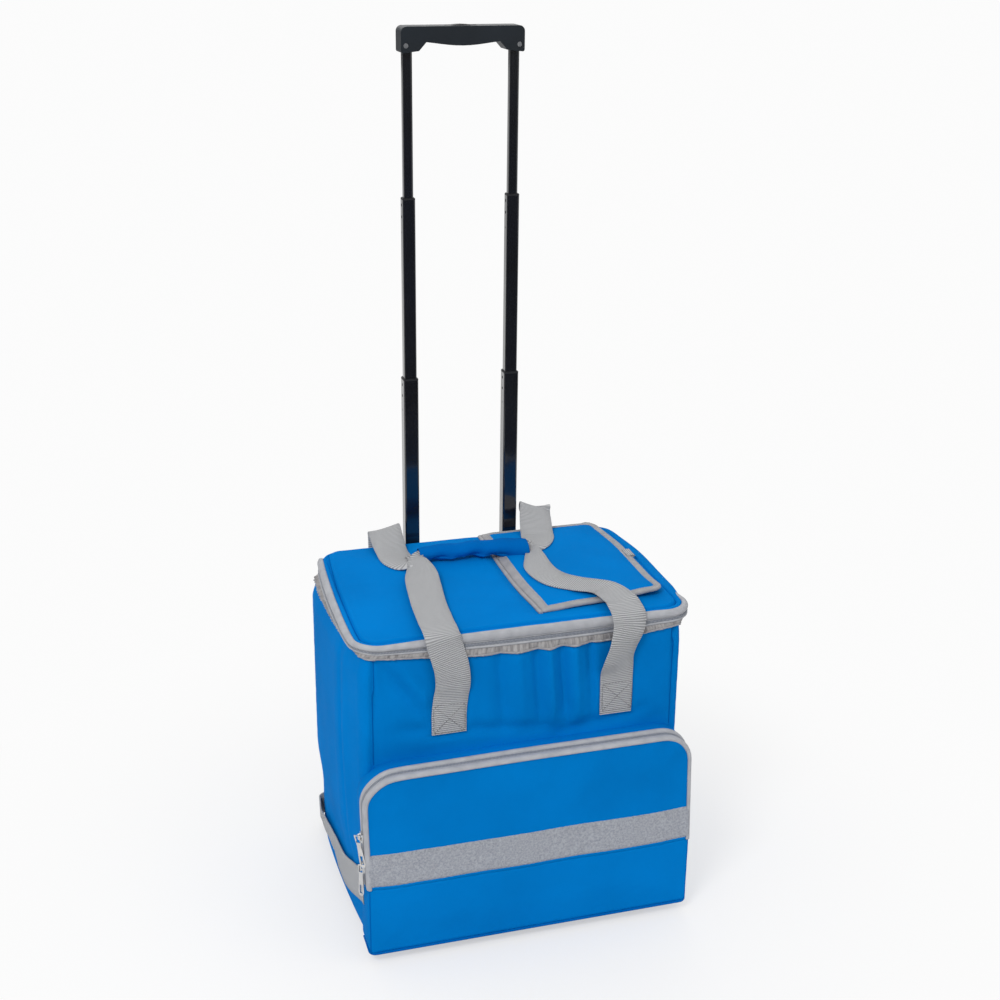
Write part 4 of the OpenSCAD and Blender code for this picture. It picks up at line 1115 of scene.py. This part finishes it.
def make_pocket_piping():
    """Piping round the pocket's lower edge, and the sewn corners above it."""
    h, r = POCKET_HALF - 0.5, 6.0
    line = ([(-h, FRONT_Y - 2)] + arc(-h + r, POCKET_Y + 6.5, 6.5, 180, 6)
            + arc(h - r, POCKET_Y + 6.5, 6.5, 270, 6) + [(h, FRONT_Y - 2)])
    line = [(x, y, BOTTOM_Z + 1.2) for x, y in resample(line, 260, closed=False)]
    dress(cordlike("pocket_piping", line, 1.5), "dark_cloth", ROOT, replaced=["bottom_piping"])
    for side, k in (("left", -1), ("right", 1)):
        line = [(k * (POCKET_HALF - 0.6 + 0.3 * rough_at(0, 0, z, 14, 54)), POCKET_Y + 1.6, z)
                for z in np.linspace(BOTTOM_Z + 2, FOLD_Z - 0.5, 40)]
        dress(cordlike("pocket_corner_seam_" + side, line, 0.9, up=(0, 1, 0)), "dark_cloth", ROOT)


def lean(x, z):
    """The full pocket leans to the left, and its upper left corner sinks."""
    up = min(max((z - 88) / (POCKET_TOP - 88), 0), 1.1)
    corner = exp(-((x + 176) / 24) ** 2 - ((z - POCKET_TOP) / 34) ** 2)
    low = 2.4 * up ** 3 + 1.6 * up ** 2 * fall(x, 20, 160)
    return x - 4.4 * up + 1.2 * corner, z - low - 4.0 * corner


def lean_pocket():
    for o in scene.objects:
        if o.type == "MESH" and o.name.startswith(("pocket_", "loop_strip")) and o.name not in nodes:
            for v in o.data.vertices:
                x, z = lean(v.co.x * 1000, v.co.z * 1000)
                v.co.x, v.co.z = x * 0.001, z * 0.001


def cordlike(name, line, r, up=(0, 0, 1)):
    """Round piping along a line."""
    p = np.array(line, float)
    t = np.gradient(p, axis=0)
    t /= np.linalg.norm(t, axis=1)[:, None]
    rows = []
    for q, d in zip(p, t):
        a = np.cross(d, np.array(up, float))
        a /= np.linalg.norm(a)
        b = np.cross(a, d)
        rows.append([q + r * (a * cos(w) + b * sin(w))
                     for w in np.linspace(0, 2 * pi, 10, endpoint=False)])
    return piece(name, rows, closed=True)


# ---------------------------------------------------------------- webbing

def spline_rows(rows, n):
    p = np.array([row if len(row) == 7 else row + [WIDE] for row in rows], float)
    out = []
    last = len(p) - 1
    for i in range(last):
        a, b, c, d = p[max(i - 1, 0)], p[i], p[i + 1], p[min(i + 2, last)]
        for k in range(n):
            t = k / n
            out.append(0.5 * (2 * b + (c - a) * t + (2 * a - 5 * b + 4 * c - d) * t * t
                              + (3 * b - a - 3 * c + d) * t * t * t))
    out.append(p[last])
    return np.array(out)


def strap(names, route, bodies, replaced, seed, cuts=(), floor_z=None, curl=0.0, sewn=0.0):
    """Webbing along the rows of a route: a flat closed section with rounded edges,
    cut into one piece per body at the rows named in cuts. floor_z(x, y) keeps it
    above what it lies on, and below the height sewn it lies flat."""
    n, half = 10, 0.85  # steps between two rows of the route, half the thickness
    c = spline_rows(route, n)
    last = len(c) - 1
    section = [(-1.0, 0.0), (-0.965, 1.0), (-0.5, 1.0), (0.0, 1.0), (0.5, 1.0), (0.965, 1.0),
               (1.0, 0.0), (0.965, -1.0), (0.5, -1.0), (0.0, -1.0), (-0.5, -1.0), (-0.965, -1.0)]
    rows = []
    for i, row in enumerate(c):
        t = c[min(i + 1, last), :3] - c[max(i - 1, 0), :3]
        t /= np.linalg.norm(t)
        w = row[3:6] / np.linalg.norm(row[3:6])
        w = w - t * np.dot(w, t)
        w /= np.linalg.norm(w)
        nrm = np.cross(t, w)
        up = -1 if nrm[2] < 0 else 1
        ring = []
        for u, v in section:
            q = row[:3] + w * (u * row[6] / 2) + nrm * (v * half)
            q = q + nrm * up * curl * (u * u - 0.4) * abs(nrm[2])
            loose = rise(row[2], sewn, 25)
            q = q + nrm * loose * 0.5 * rough_at(*(row[:3] + w * u * 9), 24, seed)
            if floor_z is not None and row[2] > LID_Z - 6:
                q[2] = max(q[2], floor_z(q[0], q[1]) + 0.5 + (v * up + 1) * half)
            ring.append(q)
        rows.append(ring)
    along = distances(c[:, :3])
    us = [(u + 1) / 2 * float(np.mean(c[:, 6])) for u, v in section + section[:1]]
    stops = [0] + [k * n for k in cuts] + [last]
    # one set of normals for the whole strap, so that its cuts don't show
    whole = piece("whole_strap", rows, closed=True)
    normals = np.zeros(len(whole.data.vertices) * 3, np.float32)
    whole.data.vertex_normals.foreach_get("vector", normals)
    normals = normals.reshape(len(rows), len(section), 3)
    bpy.data.meshes.remove(whole.data)
    for k, name in enumerate(names):
        a, b = stops[k], stops[k + 1]
        o = piece(name, rows[a:b + 1], closed=True, uv=(us, along[a:b + 1]))
        cap_ends(o, len(section))
        shared = normals[a:b + 1].reshape(-1, 3).tolist()
        for end in (c[a, :3] - c[a + 1, :3], c[b, :3] - c[b - 1, :3]):
            shared += [tuple(Vector(end).normalized())] * len(section)
        o.data.normals_split_custom_set_from_vertices(shared)
        dress(o, "webbing", bodies[k], replaced=replaced[k])


def cap_ends(o, n):
    """Closes both ends of a tube of rings of n points, with points of their own."""
    bm = bmesh.new()
    bm.from_mesh(o.data)
    at = [v.co.copy() for v in bm.verts]
    first = [bm.verts.new(co) for co in at[:n]]
    final = [bm.verts.new(co) for co in at[-n:]]
    bm.faces.new(first[::-1])
    bm.faces.new(final)
    bm.to_mesh(o.data)
    bm.free()


def lid_floor(x, y):
    """Top of whatever lies on the lid at one place."""
    if lid_inset(x, y) < 0:
        return -1000
    if HX0 < x < HX1 and HY0 < y < HY1:
        return flap_base(x, y) + 5.0 * flap_thick(x)
    if SEAM_X < x <= HX0 and HY0 < y < HY1:
        return lid_height(x, y) + 3.0
    return lid_height(x, y) + (1.2 if lid_inset(x, y) < 7 else 0.0)


# rows of a strap are [x, y, z, width direction x, y, z, width], and WIDE is the usual width
WIDE = 38
FOLD_FRONT = (FRONT_Y - 4.6, LID_Z + 4)
FOLD_BACK = (BACK_Y + 7, LID_Z + 6)
LEG_Y = FRONT_Y - 2.4

front_loop = [
    [-93, -113, 367.2, 1, 0, 0], [-92.5, -98, 367.6, 1, 0, 0],
    [-90, -60, 369.5, 1, 0.05, 0],
    [-84, -12, 371.5, 1, 0, 0.05], [-80, 14, 372, 1, 0.05, 0.15, 36],
    [-78, 37, 373, 0.9, -0.2, 0.35, 27], [-77, 52, 374, 0.6, -0.75, 0.25, 19],
    [-69, 60, 376.8, 0.1, -1, 0, 14],
    [-40, 61.2, 379.1, 0, -1, 0, 14], [0, 60.1, 379.4, 0, -1, 0, 14],
    [30, 59.2, 378.1, 0, -1, 0, 14], [53.5, 58, 376.5, -0.05, -1, 0, 14],
    [57.5, 46, 375, -0.5, -0.8, -0.3, 15], [54, 23, 373.5, -0.8, -0.5, -0.3, 24],
    [51, -4, 371.5, -0.9, -0.4, -0.1, 33], [59, -34, 370, -0.75, -0.65, 0, 37],
    [79, -55, 371, -0.65, -0.75, 0, 37], [101, -76, 373, -0.9, -0.4, 0],
    [109.5, -101, 371, -1, -0.08, 0],
    [110.8, -114, 368.2, -1, 0, 0]]
back_loop = [
    [-93, 143, 377, 1, 0, 0.2], [-93.5, 134, 378.5, 1, 0.05, 0.2],
    [-95, 112, 373, 1, 0.2, 0.1], [-95, 88, 368, 0.85, 0.5, 0],
    [-93, 67, 367.3, 0.68, 0.73, 0], [-86, 56, 369, 0.46, 0.88, 0.08, 34],
    [-77, 57, 372, 0.2, 1, 0.1, 22], [-68, 61.8, 374.5, 0.05, 1, 0, 14],
    [-40, 61.2, 375.6, 0, 1, 0, 14], [0, 60.1, 375.8, 0, 1, 0, 14],
    [30, 59.2, 374.5, 0, 1, 0, 14], [54, 58.2, 372.8, 0, 1, 0, 14],
    [66, 57, 370.8, -0.35, 0.85, 0.35, 30], [75, 76, 370.5, -0.85, 0.5, 0.15],
    [82, 104, 377, -0.88, 0.46, 0.1], [89, 130, 385, -0.95, 0.2, 0.25],
    [93, 144, 386, -1, 0, 0.3]]
belt = [
    [182.2, -131, 80, 0, 0.4, 1], [182.2, -117, 75.5, 0, 0.4, 1],
    [181, -90, 62, 0, 0.3, 1], [183.4, -40, 44, 0, 0.1, 1],
    [184.2, 10, 40, 0.05, 0, 1, 37], [184.6, 60, 36, 0.15, 0, 0.95, 32],
    [183.4, 96, 28, 0.15, 0, 0.95, 27], [181.9, 118, 25, 0.1, 0, 1, 26],
    [180, 132, 25, 0, 0.1, 1, 27], [171.5, 136.8, 27, 0, 0, 1, 28],
    [162, 135.9, 30, 0, 0, 1, 30]]


slack_leg = [
    [101, LEG_Y, 246, 1, 0, 0.1, 36.5], [101, LEG_Y, 272, 1, 0, 0.06, 37],
    [100.5, LEG_Y - 1.2, 294, 1, 0, 0, 37], [99.5, LEG_Y - 8, 313, 0.96, -0.24, 0],
    [104, LEG_Y - 11, 333, 0.94, -0.3, 0],
    [110, FOLD_FRONT[0] - 5.6, FOLD_FRONT[1] - 12, 0.98, -0.14, 0],
    [111, FOLD_FRONT[0] - 0.4, FOLD_FRONT[1] - 0.6, 1, 0, 0]]
tight_leg = [
    [-85, LEG_Y, 249, 1, 0, -0.1], [-85, LEG_Y, 272, 1, 0, -0.06],
    [-83.5, LEG_Y - 0.8, 290, 1, 0, 0], [-82, LEG_Y - 4.5, 308, 1, 0, 0],
    [-84, LEG_Y - 6.5, 328, 1, 0.06, 0],
    [-90, FOLD_FRONT[0] - 2.6, FOLD_FRONT[1] - 12, 1, 0.04, 0],
    [-92.6, FOLD_FRONT[0] - 0.4, FOLD_FRONT[1] - 0.6, 1, 0, 0]]


def back_leg(x):
    return [[x, BACK_Y + 2.4, 262, 1, 0, 0], [x, BACK_Y + 2.4, 290, 1, 0, 0],
            [x, BACK_Y + 2.8, 312, 1, 0, 0], [x, BACK_Y + 4.6, 335, 1, 0, 0],
            [x, FOLD_BACK[0], FOLD_BACK[1], 1, 0, 0]]


def other_way(leg):
    return [row[:3] + [-row[3]] + row[4:] for row in reversed(leg)]


def make_straps():
    front = tight_leg + front_loop + other_way(slack_leg)
    back = back_leg(-93) + back_loop + other_way(back_leg(94))
    for which, route, leg, seed, sewn in (("front", front, 6, 22, 285), ("back", back, 4, 23, 295)):
        strap([which + "_strap_end_left", which + "_carry_loop", which + "_strap_end_right"], route,
              [ROOT, which + "_strap", ROOT], [[which + "_strap_ends"], [which + "_strap"], []], seed,
              cuts=(leg, len(route) - leg - 1), floor_z=lid_floor, curl=0.8, sewn=sewn)
    for name, x, y, z0, z1 in (("front_strap_stitches_left", -85, LEG_Y - 1.0, 250.5, 283),
                               ("front_strap_stitches_right", 102, LEG_Y - 1.0, 250.5, 283),
                               ("back_strap_stitches_left", -93, BACK_Y + 3.4, 264.5, 292),
                               ("back_strap_stitches_right", 94, BACK_Y + 3.4, 264.5, 292)):
        stitch_box(name, x, y, z0, z1, 34, ROOT)
    for side, k, inward in (("left", -1, 0.0), ("right", 1, 1.5)):
        route = [[k * (row[0] - inward)] + row[1:3] + [k * row[3]] + row[4:] for row in belt]
        strap(["side_belt_" + side], route, [ROOT], [["side_belts"] if k < 0 else []], seed=24 + k)


def stitches(name, lines, body, length=2.4, pause=1.3, r=0.28, thread="thread"):
    """Short thread stitches along 3D lines, each lying a little proud of the cloth."""
    verts, faces = [], []
    for line in lines:
        p = np.array(line, float)
        s = distances(p)
        at = 0.3
        while at + length < s[-1]:
            a, b = (np.array([np.interp(v, s, p[:, k]) for k in range(3)])
                    for v in (at, at + length))
            d = (b - a) / np.linalg.norm(b - a)
            side = np.cross(d, [0.31, 0.52, 0.79])
            side /= np.linalg.norm(side)
            other = np.cross(d, side)
            spokes = [side * cos(2 * pi * w / 5) + other * sin(2 * pi * w / 5) for w in range(5)]
            faces += [(k + w, k + (w + 1) % 5, k + 5 + (w + 1) % 5, k + 5 + w)
                      for k in range(len(verts), len(verts) + 15, 5) for w in range(5)]
            for q, size in ((a, 0.5), (a + (b - a) * 0.2, 1), (a + (b - a) * 0.8, 1), (b, 0.5)):
                verts += [tuple((q + r * size * spoke) * 0.001) for spoke in spokes]
            at += length + pause
    mesh = bpy.data.meshes.new(name)
    mesh.from_pydata(verts, [], faces)
    return dress(smooth_object(name, mesh), thread, body)


def stitch_box(name, x, y, z0, z1, width, body):
    """Box with a cross, where a strap is sewn on."""
    a, b = x - width / 2, x + width / 2
    lines = [[(a, y, z0), (b, y, z0), (b, y, z1), (a, y, z1), (a, y, z0)],
             [(a, y, z0), (b, y, z1)], [(b, y, z0), (a, y, z1)]]
    return stitches(name, [resample(line, 40, closed=False).tolist() for line in lines], body,
                    2.6, 1.0, 0.32, "box_thread")


def wrap_mid(s):
    return np.array([lerp(-71, 53.5, s), lerp(61.6, 57.8, s) - 4.2 * s ** 4,
                     376.1 + 1.6 * sin(pi * s) - 3.4 * s ** 3])


def make_wrap():
    """Padded sleeve round both loops: two turned layers that close with a lapped edge."""
    rows = []
    stations, count = 90, 96
    for j in range(stations + 1):
        s = j / stations
        c = wrap_mid(s)
        row = []
        for k in range(count):
            a = 2 * pi * k / count
            end = 1 - 0.13 * bell(s, 0, 0.03) - 0.1 * bell(s, 1, 0.03)
            # lapped edge low on the front, with slanting folds that run out of it
            under = smooth((sin(a - 0.35) * -1.5) + 0.35)
            lap = 1.5 * rise(a, 3.75, 0.12) * fall(a, 5.0, 0.5)
            fold = 2.0 * sin(22 * s + 1.9 * a + 2.4 * rough_at(s * 60, a * 9, 0, 20, 30))
            fold += 0.6 * sin(43 * s - 1.2 * a + 3 * rough_at(s * 60, a * 9, 5, 26, 32))
            fat = 1.2 * rough_at(s * 120, a * 10, 0, 24, 31)
            more = 6.0 * s ** 4
            rr = end + (lap + fold * (0.3 + 0.7 * under) + fat) / 11
            row.append(c + np.array([0, (9.9 + more) * rr * cos(a),
                                     (7.2 + more) * rr * sin(a)]))
        rows.append(row)
    dress(thicken(piece("grip_wrap_cover", rows, closed=True), 1.3), "wrap_cloth", "front_strap",
          ["grip_wrap"])
    edge = [wrap_mid(s) + np.array([0, (11.1 + 6.0 * s ** 4) * cos(4.9),
                                    (8.4 + 6.0 * s ** 4) * sin(4.9)])
            for s in np.linspace(0.03, 0.97, 60)]
    stitches("grip_wrap_stitches", [edge], "front_strap", 2.2, 1.2, 0.22)


# ---------------------------------------------------------------- back, hard parts

def make_sleeve():
    lo, hi = (v * 1000 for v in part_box("back_sleeve"))
    half, y1 = hi.x, hi.y
    left = [(-half, BACK_Y)] + [(-half + 9 - 9 * cos(radians(a)),
                                 y1 - 9 + 9 * sin(radians(a))) for a in range(0, 91, 9)]
    line = resample(left + [(-x, y) for x, y in reversed(left)], 150, closed=False)
    rows = []
    for k in range(71):
        z = lerp(lo.z, hi.z, k / 70)
        row = []
        for x, y in line:
            out = (y - BACK_Y) / (y1 - BACK_Y)
            mid = bell(x, 0, 32)
            d = -5.0 * mid * sin(pi * k / 70) ** 0.4 + 0.8 * rough_at(x, 0, z * 0.5, 26, 40)
            row.append((x, y + d * smooth(out * 1.5), z))
        rows.append(row)
    cloth("back_tube_sleeve", rows, "dark_cloth", ROOT, None, ["back_sleeve"])
    dress(cordlike("back_sleeve_hem", [(x, y, hi.z) for x, y in line], 1.3), "gathered", ROOT)


def moved_copy(name, node, shift, turn=0.0, size=1.0):
    """The CAD solid again, moved with the cloth it is sewn to, and turned about its own
    upright axis by some degrees."""
    o = bpy.data.objects.new(name, nodes[node].data.copy())
    low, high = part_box(node)
    mid = (low + high) / 2
    spin = (Matrix.Translation(mid) @ Matrix.Rotation(radians(turn), 4, "Z")
            @ Matrix.Diagonal((size, size, size, 1)))
    o.data.transform(Matrix.Translation(Vector(shift) * 0.001) @ spin @ Matrix.Translation(-mid))
    scene.collection.objects.link(o)
    soften(dress(o, "nickel", node, replaced=[node]), 0.0002, 30)


def make_sliders():
    moved_copy("lid_zip_slider", "lid_slider", (6.2, 0, 0.8))
    moved_copy("lid_zip_pull", "lid_pull", (6.2, 0, 0.8))
    for which, turn in (("upper", 48), ("lower", 40)):
        low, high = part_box("pocket_slider_" + which)
        across = lean(-180, (low.z + high.z) * 500)[0] + 180
        moved_copy("pocket_zip_slider_" + which, "pocket_slider_" + which, (across, 0, 0), 0, 1.15)
        moved_copy("pocket_pull_turned_" + which, "pocket_pull_" + which, (across - 1.0, 0, -1.5),
                   turn, 1.2)


def soften(o, width, angle):
    """Rounds the edges that are sharper than an angle in degrees."""
    bevel = o.modifiers.new("soft_edges", "BEVEL")
    bevel.width, bevel.segments, bevel.limit_method = width, 2, "ANGLE"
    bevel.angle_limit = radians(angle)


def finish_hard_parts():
    slots = {p["node"]: p["material_slot"] for p in frame["record"]["subparts"]}
    widths = {"grip_plastic": 0.0012, "black_plastic": 0.0005, "nickel": 0.00022, "black_tube": 0.0}
    for name, o in nodes.items():
        if o.hide_render:
            continue
        o.data.materials.clear()
        o.data.materials.append(mats[slots[name]])
        width = widths.get(slots[name], 0.0002)
        if width:
            soften(o, width, 40)


def give_way():
    # the front and back loops, the wrap and its stitches get meshes of their own
    for name, y, keep in (("front_carry_loop", -0.124, 0.14), ("grip_wrap_cover", -0.124, 0.14),
                          ("grip_wrap_stitches", -0.124, 0.14), ("back_carry_loop", 0.139, 0.2)):
        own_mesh(bpy.data.objects[name])
    # the flap, its binding, stitches and tab get meshes of their own
    for name in ("hatch_cover", "hatch_edge_binding", "hatch_binding_stitches", "hatch_tab"):
        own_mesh(bpy.data.objects[name])
    # the folding front and what is sewn on it are taken off their body and baked in place
    for name in ("pocket_face", "loop_strip", "loop_strip_stitches", "pocket_zip_front_tape",
                 "pocket_zip_front_coil"):
        o = bpy.data.objects[name]
        o.parent = None
        o.matrix_world = Matrix.Identity(4)
        del o["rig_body"]
        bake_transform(o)


make_camera()
make_studio()
make_body()
make_bottom()
make_lining()
make_main_zip()
make_lid()
make_lid_inside()
make_lid_bands()
make_lid_hinge()
make_hatch()
make_hatch_edges()
make_pocket()
make_pocket_zip()
make_loop_strip()
make_pocket_piping()
lean_pocket()
make_straps()
make_wrap()
make_sleeve()
make_sliders()
finish_hard_parts()
give_way()
